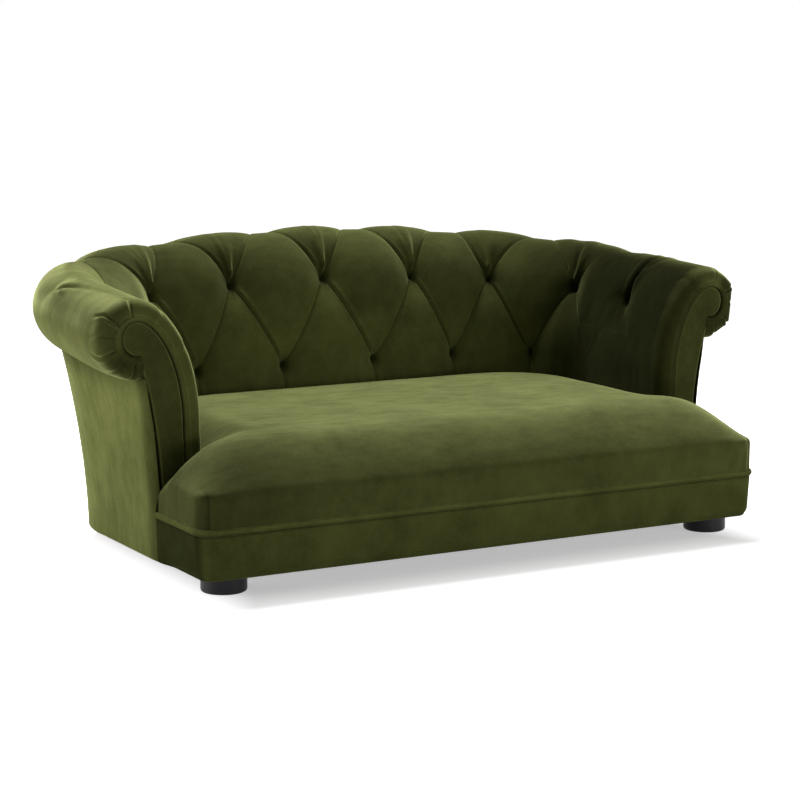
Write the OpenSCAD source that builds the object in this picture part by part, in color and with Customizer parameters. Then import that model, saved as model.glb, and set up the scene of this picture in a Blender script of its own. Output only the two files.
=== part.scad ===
// Tufted scroll-arm sofa bed for a dog: a plywood frame on four feet, a padded and
// deep-buttoned wall that runs round three sides, and a crowned T-shaped seat.
// X runs across the sofa, Y from the front to the back, Z up. The origin is on the
// floor, under the middle of the sofa's outline.

/* [Sofa] */
// Width of the base, over both outside arms
base_w = 924; // [880:2:980]
// Depth of the base, from the border to the outside back
base_d = 578; // [550:2:620]
// Height of the roll at the middle of the back
back_h = 446; // [430:1:470]
// Height of the roll at the fronts of the arms
arm_h = 392; // [380:1:410]
// How far the seat stands out in front of the arms
ear_d = 152; // [130:1:170]

/* [Wall] */
// Thickness of the wall at its foot, from the inside face to the outside panel
wall_t = 77; // [74:1:90]
// Radius of the inside corners of the wall, in plan
corner_r = 150; // [120:1:170]
// Distance of the roll's centre line from the inside face
roll_out = 101; // [96:1:110]
// Radius of the roll
roll_r = 57; // [54:0.5:60]
// How far the flat part of the inside face leans out
lean = 3; // [1:0.5:6]

/* [Tufting] */
// Distance between two tufts of a row, along the back
tuft_pitch = 165; // [160:0.5:170]
// Distance between two tufts of a row, round the corners and along the arms
corner_pitch = 134; // [132:0.5:140]
// Depth of a tuft below the puffs
tuft_depth = 20; // [8:0.5:20]
// Depth of the sewn folds between tufts
fold_depth = 8; // [2:0.5:10]
// Height of the lower row of tufts
lower_tuft_h = 230; // [222:1:238]
// Diameter of the washers that hold the tufting twine
washer_d = 18; // [14:0.5:22]

/* [Seat] */
// Height of the welt round the seat
welt_h = 92; // [90:0.5:98]
// Diameter of the welt
welt_d = 9.4; // [8:0.1:11]
// Height of the seat's side, where it starts to round over, at the front
seat_edge_h = 142; // [134:1:150]
// Height of the seat's side along the arms and the back
seat_back_edge_h = 176; // [168:1:184]
// Height of the seat's crown
seat_crown_h = 206; // [198:1:214]
// Radius of the seat's front corners, in plan
seat_corner_r = 26; // [18:1:34]

/* [Feet] */
// Height of a foot
foot_h = 25; // [22:0.5:40]
// Diameter of a foot
foot_d = 64; // [56:1:72]
// Distance of a foot's centre from the side of the base
foot_in_x = 56; // [48:1:66]
// Distance of a foot's centre from the front or back of the base
foot_in_y = 55; // [46:1:66]

/* [Frame] */
// Thickness of the plywood boards
board_t = 12; // [10:0.5:12]
// Thickness of the rails
rail_t = 18; // [15:0.5:20]
// Thickness of the hardboard liner behind the foam
liner_t = 4; // [3:0.5:5]

/* [Padding] */
// Thickness of the buttoned cover with its wadding
pad_t = 24; // [23:0.5:26]
// Thickness of the foam on the wall
foam_t = 12; // [10:0.5:14]
// Thickness of the seat cover
cover_t = 6; // [4:0.5:7]
// Thickness of the outside panels and the border
panel_t = 3.2; // [2.5:0.1:4]

/* [Hidden] */

// Clearance between soft pieces, and between a soft piece and what carries it
soft_gap = 0.4;
// Clearance of bolts in their holes
bolt_gap = 0.1;
// How much smaller the seat's foam and board are than the inside of its cover
seat_ease = 4;
// How far a cut runs past a face
overrun = 1;
// Faces of a round frame part
round_fn = 64;

// Places that follow from the sizes above
welt_out = welt_d / 3;
roll_back = roll_out + roll_r - wall_t;
front_y = welt_out - (base_d + welt_out + roll_back) / 2;
arm_x = base_w / 2 - wall_t;
back_y = front_y + base_d - wall_t;
arm_front_y = front_y + ear_d;
back_half = arm_x - corner_r;
corner_y = back_y - corner_r;
line_r = corner_r + tuft_depth;
corner_run = line_r * PI / 2;
arm_run = corner_y - arm_front_y;
wall_half = back_half + corner_run + arm_run;
half_pitch = tuft_pitch / 2;
corner_half = corner_pitch / 2;

// Heights of the frame, from the feet up
dust_t = 1;
board_z = foot_h + dust_t;
rail_z = board_z + board_t;
deck_t = board_t;
deck_z = welt_h - board_t / 3;
deck_top = deck_z + deck_t;
cover_z = deck_top + soft_gap;

// Share of the roll's height at which the inside face starts to bend out
bend_share = 0.55;
// Share of the roll's height at which the upper tufts lie
upper_tuft_share = 0.84;
// Power that shapes the arch of the roll's height
arch_power = 1.6;
// Angles round the roll, from the inside face over the top
top_turn = 90;
outer_tuft_turn = 135;
corner_neck_turn = 250;
arm_neck_turn = 276;
// How far the outside of the wall stands out at the middle of each back corner
corner_bulge = 9;

// Height of the roll at a distance s along the wall from the middle of the back
function top_h(s) =
    arm_h + (back_h - arm_h) * pow(max(0, cos(90 * s / wall_half)), arch_power);
function bend_h(s) = bend_share * top_h(s);
function upper_tuft_h(s) = upper_tuft_share * top_h(s);

// Plan of the wall: the side, the turn of its outward normal, and a point at a distance
// out from the inside face
function side(s) = s < 0 ? -1 : 1;
function turn(s) = min(90, max(0, (abs(s) - back_half) / line_r * 180 / PI));
function bulge(s) = corner_bulge * max(0, sin(2 * turn(s)));
// Places along the wall of the steps of the tufting, which are half a pitch apart: tufts lie
// at even steps in the upper row and at odd steps in the lower row
function place(step) = side(step) *
    (min(abs(step), 2) * half_pitch + max(0, abs(step) - 2) * corner_half);
function step_at(s) = side(s) *
    (min(abs(s), tuft_pitch) / half_pitch + max(0, abs(s) - tuft_pitch) / corner_half);
function plan(s, out) =
    let (t = turn(s), run = max(0, abs(s) - back_half - corner_run))
    [side(s) * (min(abs(s), back_half) + (corner_r + out) * sin(t)),
     corner_y - run + (corner_r + out) * cos(t)];
function wall_point(s, out, z) = let (p = plan(s, out)) [p[0], p[1], z];

// Section of the padded wall. Row 0 is the lower row of tufts, row 1 the upper row, row 2
// the row outside the roll; row -1 is the foot of the cover and row 3 its end at the neck.
// depth is measured inwards from the surface of the puffs.
function row_h(s, row) = row < 0 ?
    lower_tuft_h + row * (lower_tuft_h - cover_z) :
    lower_tuft_h + row * (upper_tuft_h(s) - lower_tuft_h);
function rise(s, depth) = top_h(s) - bend_h(s) - depth;
function face_turn(s, row, depth) =
    asin(min(1, max(0, (row_h(s, row) - bend_h(s)) / rise(s, depth))));
function neck_turn(s) = corner_neck_turn + (arm_neck_turn - corner_neck_turn) *
    min(1, max(0, abs(s) - back_half - corner_run) / (arm_run - edge_r));
function row_turn(s, row, depth) = row <= 1 ? face_turn(s, row, depth) :
    row <= 2 ? let (a = face_turn(s, 1, depth)) a + (row - 1) * (outer_tuft_turn - a) :
    outer_tuft_turn + (row - 2) * (neck_turn(s) - outer_tuft_turn);
function on_roll(s, a, depth) = a > top_turn ?
    [roll_out - (roll_r - depth) * cos(a), top_h(s) - roll_r + (roll_r - depth) * sin(a)] :
    [roll_out - (roll_out - lean - depth) * cos(a), bend_h(s) + rise(s, depth) * sin(a)];
function section(s, row, depth) =
    let (a = row_turn(s, row, depth))
    row <= 1 && row_h(s, row) < bend_h(s) ?
        [depth + lean * (row_h(s, row) - cover_z) / (bend_h(s) - cover_z), row_h(s, row)] :
        on_roll(s, a, depth);
function section_normal(s, row, depth) =
    let (a = row_turn(s, row, depth),
         w = a > top_turn ? 1 : (roll_out - lean - depth) / rise(s, depth),
         n = [-cos(a), sin(a) * w])
    n / norm(n);

// Radius of the arm covers' front edges, and how far behind them the last tuft may lie
edge_r = 28;
edge_room = 45;
// Depth of the tufts and of the sewn folds that join them in diamonds. The folds and the
// lower row end at the arms, and the upper row fades out past its last tuft.
last_fold = 6;
last_tuft = floor(step_at(wall_half - edge_r - edge_room));
fade_steps = 0.8;
// Power that spreads the folds out where they run over the roll
spread_power = 1.9;
function to_odd(x) = abs(x - 2 * round((x - 1) / 2) - 1);
function fold(x) = pow(max(0, 1 - x), 3);
function fold_fade(step) = min(1, max(0, last_fold + 1 - abs(step)));
function tuft_fade(step) = min(1, max(0, 1 - (abs(step) - last_tuft) / fade_steps));
function dent(s, row) =
    let (step = step_at(s), r = row > 1 ? 2 - pow(max(0, 2 - row), spread_power) : max(0, row),
         p = to_odd(step + r), q = to_odd(step - r), straight = row < 0 || row > 2,
         folds = straight ? fold(to_odd(step)) * (1 - (row < 0 ? -row : row - 2) / 2) :
             max(fold(p), fold(q)),
         well = exp(-(p * p + q * q) / 0.3) * (straight ? 0 : 1) * (row < 0.5 ? fold_fade(step) : 1))
    tuft_fade(step) * min(tuft_depth,
        fold_fade(step) * fold_depth * folds + (tuft_depth - fold_depth) * well);
function padded_point(s, row, depth) =
    let (d = depth > 0 ? 0 : dent(s, row), p = section(s, row, depth) - d * section_normal(s, row, 0))
    wall_point(s, p[0], p[1]);

// Closed solid through a list of sections. Each section is a closed loop of 2 * m points,
// the outer face in order and then the inner face in reverse, and the ends are capped.
function strip_faces(rings, n, m, flip) = let (faces = concat(
    [for (i = [0 : rings - 2], j = [0 : n - 1]) let (k = (j + 1) % n)
        each [[i * n + j, (i + 1) * n + j, (i + 1) * n + k],
              [i * n + j, (i + 1) * n + k, i * n + k]]],
    [for (e = [0, rings - 1], j = [0 : m - 2]) let (o = e * n, a = o + j, b = o + j + 1,
            c = o + n - 2 - j, d = o + n - 1 - j)
        each (e == 0 ? [[a, b, c], [a, c, d]] : [[a, c, b], [a, d, c]])]))
    [for (f = faces) flip ? f : [f[2], f[1], f[0]]];
module strip(sections, flip = false) {
    n = len(sections[0]);
    polyhedron([for (r = sections) each r], strip_faces(len(sections), n, n / 2, flip));
}
// Closed tube along a list of points, with sections square to it in plan
function heading(path, i) =
    let (d = path[min(len(path) - 1, i + 1)] - path[max(0, i - 1)]) d / norm(d);
module plan_tube(path, r, sides) {
    strip([for (i = [0 : len(path) - 1]) let (h = heading(path, i), out = [h[1], -h[0], 0])
        [for (k = [0 : sides - 1]) let (a = 360 * (k + 0.5) / sides)
            path[i] + r * (cos(a) * out + [0, 0, sin(a)])]]);
}

// Padded wall cover between two places along the wall
rows = [-1, 0, 0.25, 0.5, 0.75, 1, 1.25, 1.5, 1.75, 2, 2.5, 3];
function reversed(list) = [for (i = [len(list) - 1 : -1 : 0]) list[i]];
function cover_section(s) = concat(
    [for (row = rows) padded_point(s, row, 0)],
    [for (row = reversed(rows)) padded_point(s, row, pad_t)]);
// Front edge of an arm, where the cover turns over the arm's end to the facing
edge_lip = 3;
function turned(p, forward) = [p[0], p[1] - forward, p[2]];
function edge_point(s, row, depth, forward) =
    let (p = section(s, row, depth)) turned(wall_point(s, p[0], p[1]), forward);
function edge_section(s, a) = let (in = edge_r * (1 - cos(a)), forward = edge_r * sin(a)) concat(
    [for (row = rows) edge_point(s, row, in, forward)],
    [for (row = reversed(rows)) edge_point(s, row, max(pad_t, in + edge_lip), forward)]);

// The arm covers end here along the wall, and the turned edge reaches the arm's front
arm_end = wall_half - edge_r;
// The inside back and inside arms are joined here, at a tuft of the upper row
join_step = 6;
join = place(join_step);
// Parts that each step of the tufting is drawn in
step_parts = 4;
edge_turns = [30, 60, 90];

velvet = "#55652c";
shade_velvet = "#46552a";
plywood = "#cfae7d";
pine = "#d8b98a";
foam = "#e9dfb4";

module inside_back() {
    color(velvet)
    strip([for (i = [-join_step * step_parts : join_step * step_parts])
        cover_section(place(i / step_parts))]);
}
module inside_arm(dir) {
    count = floor((step_at(arm_end) - join_step) * step_parts);
    stops = concat([for (i = [0 : count - 1]) place(join_step + i / step_parts)], [arm_end]);
    color(velvet)
    strip(concat(
        [for (s = stops) cover_section(dir * s)],
        [for (a = edge_turns) edge_section(dir * arm_end, a)]), dir < 0);
}

// Washers behind the liner, one for each tuft of the inside face: the twine that pulls the
// tuft in is tied to it
washer_t = 2;
liner_depth = pad_t + foam_t + 2 * soft_gap;
liner_back = liner_depth + liner_t;
module tuft_washers() {
    color("silver")
    for (row = [0, 1], step = [-last_tuft : last_tuft])
        if ((step + row) % 2 != 0 && (row == 1 || abs(step) < last_fold)) {
            s = place(step);
            low = section(s, 0.75 * row, liner_back);
            high = section(s, 0.75 * row + 0.25, liner_back);
            n = [low[1] - high[1], high[0] - low[0]] / norm(high - low);
            p = (low + high) / 2 - (soft_gap + washer_t / 2) * n;
            translate(wall_point(s, p[0], p[1]))
            rotate([0, 0, -side(s) * turn(s)])
            rotate([-atan2(n[0], n[1]), 0, 0])
            cylinder(h = washer_t, d = washer_d, center = true, $fn = 24);
        }
}

// Places along the wall for the pieces under the cover: every step round the corners and
// every half pitch along the straight stretches
step_len = corner_half / step_parts;
parts_to_end = floor(step_at(arm_end) * step_parts);
function bends(s) =
    abs(s) > back_half - step_len && abs(s) < back_half + corner_run + step_len;
wall_stops = concat([-arm_end],
    [for (i = [-parts_to_end : parts_to_end]) let (s = place(i / step_parts))
        if (i % step_parts == 0 || bends(s) || abs(s) > back_half && i % 2 == 0) s],
    [arm_end]);

module wall_foam() {
    color(foam)
    strip([for (s = wall_stops) concat(
        [for (row = rows) padded_point(s, row, pad_t + 2 * soft_gap)],
        [for (row = reversed(rows)) padded_point(s, row, pad_t + foam_t)])]);
}

// Bent hardboard that carries the foam, standing on the base board
liner_rows = [0, 0.25, 0.5, 0.75, 1, 1.25];
function liner_section(s, depth) = concat(
    [let (p = section(s, -1, depth)) wall_point(s, p[0], rail_z + soft_gap)],
    [for (row = liner_rows) let (p = section(s, row, depth)) wall_point(s, p[0], p[1])]);
module wall_liner() {
    color(plywood)
    strip([for (s = wall_stops)
        concat(liner_section(s, liner_depth), reversed(liner_section(s, liner_back)))]);
}

// Wooden rail inside the roll, which the formers carry
rail_r = 16;
rail_sides = 8;
function roll_h(s) = top_h(s) - roll_r;
function rail_bottom(s) = roll_h(s) - rail_r * cos(180 / rail_sides);
module roll_rail() {
    color(pine)
    strip([for (s = wall_stops)
        [for (k = [0 : rail_sides - 1]) let (a = 180 - 360 * (k + 0.5) / rail_sides)
            wall_point(s, roll_out + rail_r * cos(a), roll_h(s) + rail_r * sin(a))]]);
}

// Upright plywood formers across the wall, from the base board to the roll rail
former_out = wall_t - panel_t - soft_gap;
former_neck = 60;
former_steps = [-7.5, -5.5, -3.5, -1.5, 1.5, 3.5, 5.5, 7.5];
function former_outline(s, depth) =
    let (top = rail_bottom(s) - soft_gap, low = former_out + bulge(s), high = low + flare(s) / 2)
    concat(
        [[low, rail_z], [low, top - former_neck], [high, top - former_neck / 3], [high, top]],
        [for (row = [1, 0.5, 0]) let (p = section(s, row, depth)) [p[0], min(top, p[1])]],
        [[depth, rail_z]]);
module former(s, outline, thickness) {
    p = plan(s, 0);
    translate([p[0], p[1], 0])
    rotate([0, 0, 90 - side(s) * turn(s)])
    rotate([90, 0, 0])
    linear_extrude(thickness, center = true)
    polygon(outline);
}
module wall_formers() {
    color(plywood)
    for (step = former_steps) let (s = place(step))
        former(s, former_outline(s, liner_back + 2 * soft_gap), board_t);
}
// Scroll-shaped board at the front of each arm, which the facing is fixed to
facing_t = 12;
function scroll_outline(s) = concat(
    [[former_out, rail_z], [former_out, roll_h(s) - roll_r]],
    [for (row = reversed(rows)) if (row >= 0) section(s, row, pad_t + soft_gap)],
    [[pad_t + soft_gap, rail_z]]);
module arm_former(dir) {
    s = dir * (wall_half - facing_t - soft_gap - board_t / 2);
    color(plywood)
    former(s, scroll_outline(s), board_t);
}

// Club-shaped padded facing. Each section crosses it from its inner to its outer edge.
facing_gap = edge_r + edge_lip + soft_gap;
facing_crown = 6;
facing_set = 2;
head_growth = 8;
// Rows up the inner edge, over the head
facing_rows = [-1, -0.4, 0, 0.3, 0.6, 0.85, 1.1, 1.35, 1.65, 1.95];
// Outer edge at each of these rows: how far out, as a share of the way from the foot to
// the head's centre line, and how far up, as a share of the height of the roll's centre
facing_out_shares = [0, 0, 0, 0.05, 0.16, 0.36, 0.62, 0.95, 1.45, 1.7];
facing_up_shares = [0, 0.33, 0.5, 0.62, 0.73, 0.82, 0.89, 0.93, 0.96, 1.01];
facing_across_shares = [0, 0.12, 0.5, 0.88, 1];
facing_swell_shares = [0, 0.75, 1, 0.75, 0];
function facing_inner(i, s) = let (a = row_turn(s, facing_rows[i], facing_gap))
    section(s, facing_rows[i], facing_gap + head_growth * max(0, a - top_turn) / top_turn);
function facing_outer(i, s) =
    [former_out - soft_gap + facing_out_shares[i] * (roll_out - former_out),
     cover_z + facing_up_shares[i] * (roll_h(s) - cover_z)];
function facing_point(p, back) =
    let (q = wall_point(wall_half, p[0], p[1])) [q[0], q[1] + back, q[2]];
// Point of the facing's crowned front, at a share of the way from its inner edge a to its
// outer edge b
function facing_front(a, b, k) = facing_point(a + facing_across_shares[k] * (b - a),
    facing_set + facing_crown * (1 - facing_swell_shares[k]));
function facing_back(a, b, k) = facing_point(a + facing_across_shares[k] * (b - a), facing_t);
module arm_facing(dir) {
    color(velvet)
    mirror([dir < 0 ? 1 : 0, 0, 0])
    strip([for (i = [0 : len(facing_rows) - 1])
        let (a = facing_inner(i, arm_end), b = facing_outer(i, arm_end)) concat(
            [for (k = [0 : 4]) facing_front(a, b, k)],
            [for (k = [4 : -1 : 0]) facing_back(a, b, k)])], true);
}

// Outside panels, which lean out to the neck of the roll
function flare(s) = roll_out - roll_r * cos(neck_turn(s)) - wall_t - bulge(s) - 2 * soft_gap;
flare_power = 1.7;
panel_shares = [0, 0.2, 0.4, 0.6, 0.8, 1];
function panel_top(s) = roll_h(s) + roll_r * sin(neck_turn(s));
function panel_point(s, k, in) = wall_point(s,
    wall_t + bulge(s) - in + flare(s) * pow(k, flare_power), foot_h + k * (panel_top(s) - foot_h));
function panel_section(s) = concat(
    [for (k = reversed(panel_shares)) panel_point(s, k, panel_t)],
    [for (k = panel_shares) panel_point(s, k, 0)]);
split_step = 3;
module outside_back() {
    color(shade_velvet)
    strip([for (k = [-split_step : split_step]) panel_section(place(k))], true);
}
module outside_arm(dir) {
    stops = [for (s = wall_stops) if (s > place(split_step) - thin_step && s < arm_end) s];
    color(velvet)
    strip([for (s = concat(stops, [wall_half])) panel_section(dir * s)], dir > 0);
}

// Outline of the front of the base, from the left arm round the seat's front to the right
// arm, at a distance in from its face
corner_turns = [0, 22.5, 45, 67.5, 90];
half_w = base_w / 2;
function front_corner(dir, in) = [for (a = corner_turns) let (t = dir < 0 ? a : 90 - a)
    [dir * (half_w - seat_corner_r + (seat_corner_r - in) * cos(t)),
     front_y + seat_corner_r - (seat_corner_r - in) * sin(t)]];
function front_path(in, back) = concat([[in - half_w, arm_front_y - back]],
    front_corner(-1, in), front_corner(1, in), [[half_w - in, arm_front_y - back]]);
function front_line(in, z) = [for (p = front_path(in, soft_gap)) [p[0], p[1], z]];

// Border below the welt, drawn in under the base at its lower edge
border_rows = [0, 0.5, 0.85, 1];
border_tuck_shares = [0, 0.2, 0.6, 1];
border_tuck = 9;
border_top = welt_h - welt_d / 2 - soft_gap;
function border_line(k, in) = front_line(border_tuck * border_tuck_shares[k] + in,
    border_top + border_rows[k] * (foot_h - border_top));
module front_border() {
    lines = concat([for (k = [0 : 3]) border_line(k, 0)],
        [for (k = [3 : -1 : 0]) border_line(k, panel_t)]);
    color(velvet)
    strip([for (i = [0 : len(lines[0]) - 1]) [for (line = lines) line[i]]], true);
}

// Welt between the border and the seat
module seat_welt() {
    color(velvet)
    plan_tube(front_line(welt_d / 2 - welt_out, welt_h), welt_d / 2, 8);
}

// Seat: its outline is a T, wide in front of the arms and narrow between them
seat_z = welt_h + welt_d / 2 + soft_gap;
seat_reach = 114;
seat_power = 2.4;
wall_reach = 60;
blend_len = 80;
function ease(x, power = 2) = 1 - pow(1 - min(1, max(0, x)), power);
function seat_front(x, in) = let (c = max(0, abs(x) - half_w + seat_corner_r))
    front_y + seat_corner_r - sqrt(max(0, pow(seat_corner_r - in, 2) - c * c));
function seat_back(x, in) = let (r = corner_r - soft_gap - in, c = max(0, abs(x) - back_half))
    c > r + thin_step / 2 ? arm_front_y - soft_gap - in : corner_y + sqrt(max(0, r * r - c * c));
function wall_distance(x, y) = y > corner_y ?
    corner_r - norm([max(0, abs(x) - back_half), y - corner_y]) : arm_x - abs(x);
function seat_h(x, y) =
    let (full = ease((half_w - abs(x)) / seat_reach, seat_power) *
             ease((y - front_y) / seat_reach, seat_power),
         low = (seat_crown_h - seat_back_edge_h) * (1 - ease(wall_distance(x, y) / wall_reach)),
         in = ease((y - arm_front_y + blend_len / 2) / blend_len))
    seat_edge_h + (seat_crown_h - seat_edge_h) * full - low * in;
// Rows across the seat's depth: the first ones share out its part in front of the arms, and
// the others go on from there to the back, or to the arm's front in the ears
ear_shares = [0, 0.04, 0.12, 0.28, 0.6, 0.9];
wall_shares = [0.14, 0.4, 0.68, 0.88, 1];
function seat_rows(x, in) =
    let (a = seat_front(x, in), b = seat_back(x, in), y = arm_front_y - soft_gap - in,
         last = a + ear_shares[len(ear_shares) - 1] * (y - a))
    concat([for (k = ear_shares) a + k * (y - a)], [for (k = wall_shares) last + k * (b - last)]);
// Distances between the columns beside the step at the arm
thin_step = 0.02;
last_column = 1;
function corner_columns(in) = [for (a = [0 : 18 : 72]) back_half + (corner_r - soft_gap - in) * sin(a)];
function seat_columns(in) = let (narrow = arm_x - soft_gap - in) concat(
    [for (k = [0 : 2]) k * back_half / 3], corner_columns(in), [narrow - last_column, narrow]);
function ear_columns(in) = let (narrow = arm_x - soft_gap - in, wide = half_w - in) concat(
    [narrow + thin_step, (narrow + wide) / 2, wide - seat_corner_r],
    [for (a = [30, 60, 90]) wide - seat_corner_r + seat_corner_r * sin(a)]);
function sorted(list) = len(list) < 2 ? list : let (m = list[floor(len(list) / 2)]) concat(
    sorted([for (x = list) if (x < m) x]), [m], sorted([for (x = list) if (x > m) x]));
function mirrored(list) = concat([for (x = reversed(list)) -x], [for (x = list) if (x > 0) x]);
function seat_top_points(x, in, bottom) = concat(
    [[x, seat_front(x, in), bottom]],
    [for (y = seat_rows(x, in)) [x, y, seat_h(x, y) - in]],
    [[x, seat_back(x, in), bottom]]);
function flat_points(x, in, bottom) = [for (p = seat_top_points(x, in, bottom)) [p[0], p[1], bottom]];
module seat_foam() {
    in = deck_in;
    color(foam)
    strip([for (x = mirrored(concat(seat_columns(in), ear_columns(in)))) concat(
        seat_top_points(x, in, cover_z),
        reversed(flat_points(x, in, cover_z)))]);
}
module seat_cover() {
    in = cover_t;
    inner = half_w - in;
    step_in = arm_x - soft_gap - in;
    columns = sorted(concat(seat_columns(0), ear_columns(0),
        [for (x = corner_columns(in)) if (x > back_half) x],
        [step_in, step_in + thin_step, inner - thin_step, inner]));
    color(velvet)
    strip([for (x = mirrored(columns)) concat(
        seat_top_points(x, 0, seat_z),
        reversed(abs(x) >= inner ? flat_points(x, 0, seat_z) : seat_top_points(x, in, seat_z)))]);
}

// Outline of the boards under the seat and the wall, from sizes in from the front and out
// from the inside face
outline_stops = [for (s = wall_stops) if (abs(s) > back_half - step_len) s];
function board_outline(in, out) = concat(front_path(in, soft_gap),
    [plan(wall_half - soft_gap, out)],
    [for (s = reversed(outline_stops)) if (abs(s) < arm_end) plan(s, out + bulge(s))],
    [plan(soft_gap - wall_half, out)]);
rail_in = border_tuck + panel_t + soft_gap;
deck_in = cover_t + seat_ease;
side_rail_x = arm_x - 2 * deck_in - rail_t;
front_rail_back = front_y + rail_in + rail_t;
back_rail_front = back_y - 2 * deck_in - rail_t;
rail_h = deck_z - rail_z;
bolt_d = 8;
bolt_in_foot = 17;
bolt_above = 6;
nut_wall = 1.4;
nut_flange_d = 22;
nut_flange_t = 1.5;
foot_round = 4;
round_steps = 4;
corner_foot = (corner_r + wall_t - foot_in_x - board_t) / sqrt(2);
foot_places = [
    [foot_in_x - half_w, front_y + foot_in_y], [half_w - foot_in_x, front_y + foot_in_y],
    [-back_half - corner_foot, corner_y + corner_foot],
    [back_half + corner_foot, corner_y + corner_foot]
];

module base_board() {
    color(plywood)
    difference() {
        translate([0, 0, board_z]) linear_extrude(board_t) polygon(board_outline(rail_in, former_out));
        for (p = foot_places)
            translate([p[0], p[1], board_z - overrun])
            cylinder(h = board_t + 2 * overrun, d = bolt_d + 2 * nut_wall + 4 * bolt_gap, $fn = round_fn);
    }
}
module rail(x, y, w, d) {
    color(pine) translate([x, y, rail_z]) cube([w, d, rail_h]);
}
module front_rail() {
    x = rail_in + seat_corner_r;
    rail(x - half_w, front_y + rail_in, base_w - 2 * x, rail_t);
}
module side_rail(dir) {
    mirror([dir < 0 ? 1 : 0, 0, 0])
    rail(side_rail_x, front_rail_back, rail_t, corner_y - front_rail_back);
}
module back_rail() {
    rail(-back_half, back_rail_front, 2 * back_half, rail_t);
}
// Rails from front to back under the deck: two in the middle, one in each ear
cross_place_share = 0.32;
module cross_rails() {
    for (dir = [0, 1]) mirror([dir, 0, 0]) {
        rail(side_rail_x * cross_place_share, front_rail_back, rail_t,
            back_rail_front - front_rail_back);
        rail(half_w - rail_in - rail_t, front_rail_back, rail_t,
            arm_front_y - front_rail_back - soft_gap);
    }
}
block_side = 52;
module corner_blocks() {
    color(pine)
    for (dir = [0, 1]) mirror([dir, 0, 0]) translate([0, 0, rail_z]) linear_extrude(rail_h) {
        polygon([[side_rail_x, front_rail_back], [side_rail_x, front_rail_back + block_side],
            [side_rail_x - block_side, front_rail_back]]);
        polygon([[side_rail_x, corner_y - block_side], [side_rail_x, corner_y],
            [back_half, back_rail_front], [back_half - block_side, back_rail_front]]);
    }
}
module seat_board() {
    color(plywood) translate([0, 0, deck_z]) linear_extrude(deck_t) polygon(seat_outline(deck_in));
}
// Outline of the seat's board, a T like the seat
function seat_outline(in) = concat(front_path(in, in),
    [plan(wall_half + in, -soft_gap - in)],
    [for (s = reversed(outline_stops)) plan(s, -soft_gap - in)],
    [plan(-wall_half - in, -soft_gap - in)]);
module dust_cover() {
    color("#26262a")
    difference() {
        translate([0, 0, foot_h]) linear_extrude(dust_t)
            polygon(board_outline(rail_in + 2 * panel_t, former_out - 2 * panel_t));
        for (p = foot_places)
            translate([p[0], p[1], foot_h - overrun])
            cylinder(h = dust_t + 2 * overrun, d = bolt_d + 4 * bolt_gap, $fn = round_fn);
    }
}
// Turned foot with a rounded lower edge, bored for its bolt
module foot(place) {
    r = foot_d / 2;
    color("#1e1e22")
    translate([place[0], place[1], 0])
    difference() {
        rotate_extrude($fn = round_fn) polygon(concat([[0, 0]],
            [for (k = [0 : round_steps]) let (a = 90 * k / round_steps)
                [r - foot_round + foot_round * sin(a), foot_round - foot_round * cos(a)]],
            [[r, foot_h], [0, foot_h]]));
        translate([0, 0, foot_h - bolt_in_foot])
            cylinder(h = bolt_in_foot + overrun, d = bolt_d + 2 * bolt_gap, $fn = round_fn);
    }
}
module foot_bolts() {
    color("silver")
    for (p = foot_places)
        translate([p[0], p[1], foot_h - bolt_in_foot])
        cylinder(h = bolt_in_foot + dust_t + board_t + bolt_above, d = bolt_d, $fn = round_fn);
}
module tee_nuts() {
    color("silver")
    for (p = foot_places) translate([p[0], p[1], board_z]) difference() {
        union() {
            cylinder(h = board_t, d = bolt_d + 2 * bolt_gap + 2 * nut_wall, $fn = round_fn);
            translate([0, 0, board_t]) cylinder(h = nut_flange_t, d = nut_flange_d, $fn = round_fn);
        }
        translate([0, 0, -overrun])
            cylinder(h = board_t + nut_flange_t + 2 * overrun, d = bolt_d + 2 * bolt_gap, $fn = round_fn);
    }
}

base_board();
front_rail();
side_rail(-1);  // side_rail_left
side_rail(1);  // side_rail_right
back_rail();
cross_rails();
corner_blocks();
seat_board();
arm_former(-1);  // arm_former_left
arm_former(1);  // arm_former_right
wall_formers();
roll_rail();
wall_liner();
wall_foam();
inside_back();
inside_arm(-1);  // inside_arm_left
inside_arm(1);  // inside_arm_right
tuft_washers();
arm_facing(-1);  // arm_facing_left
arm_facing(1);  // arm_facing_right
outside_arm(-1);  // outside_arm_left
outside_arm(1);  // outside_arm_right
outside_back();
seat_foam();
seat_cover();
seat_welt();
front_border();
dust_cover();
foot(foot_places[0]);  // foot_front_left
foot(foot_places[1]);  // foot_front_right
foot(foot_places[2]);  // foot_back_left
foot(foot_places[3]);  // foot_back_right
foot_bolts();
tee_nuts();
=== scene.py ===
"""Looks of the tufted dog sofa bed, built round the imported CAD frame.

Lengths are in millimetres until a mesh is made; the frame and Blender are in metres.
X runs across the sofa, Y from the front to the back, Z up. Turns are in degrees.
"""
import math

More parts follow.
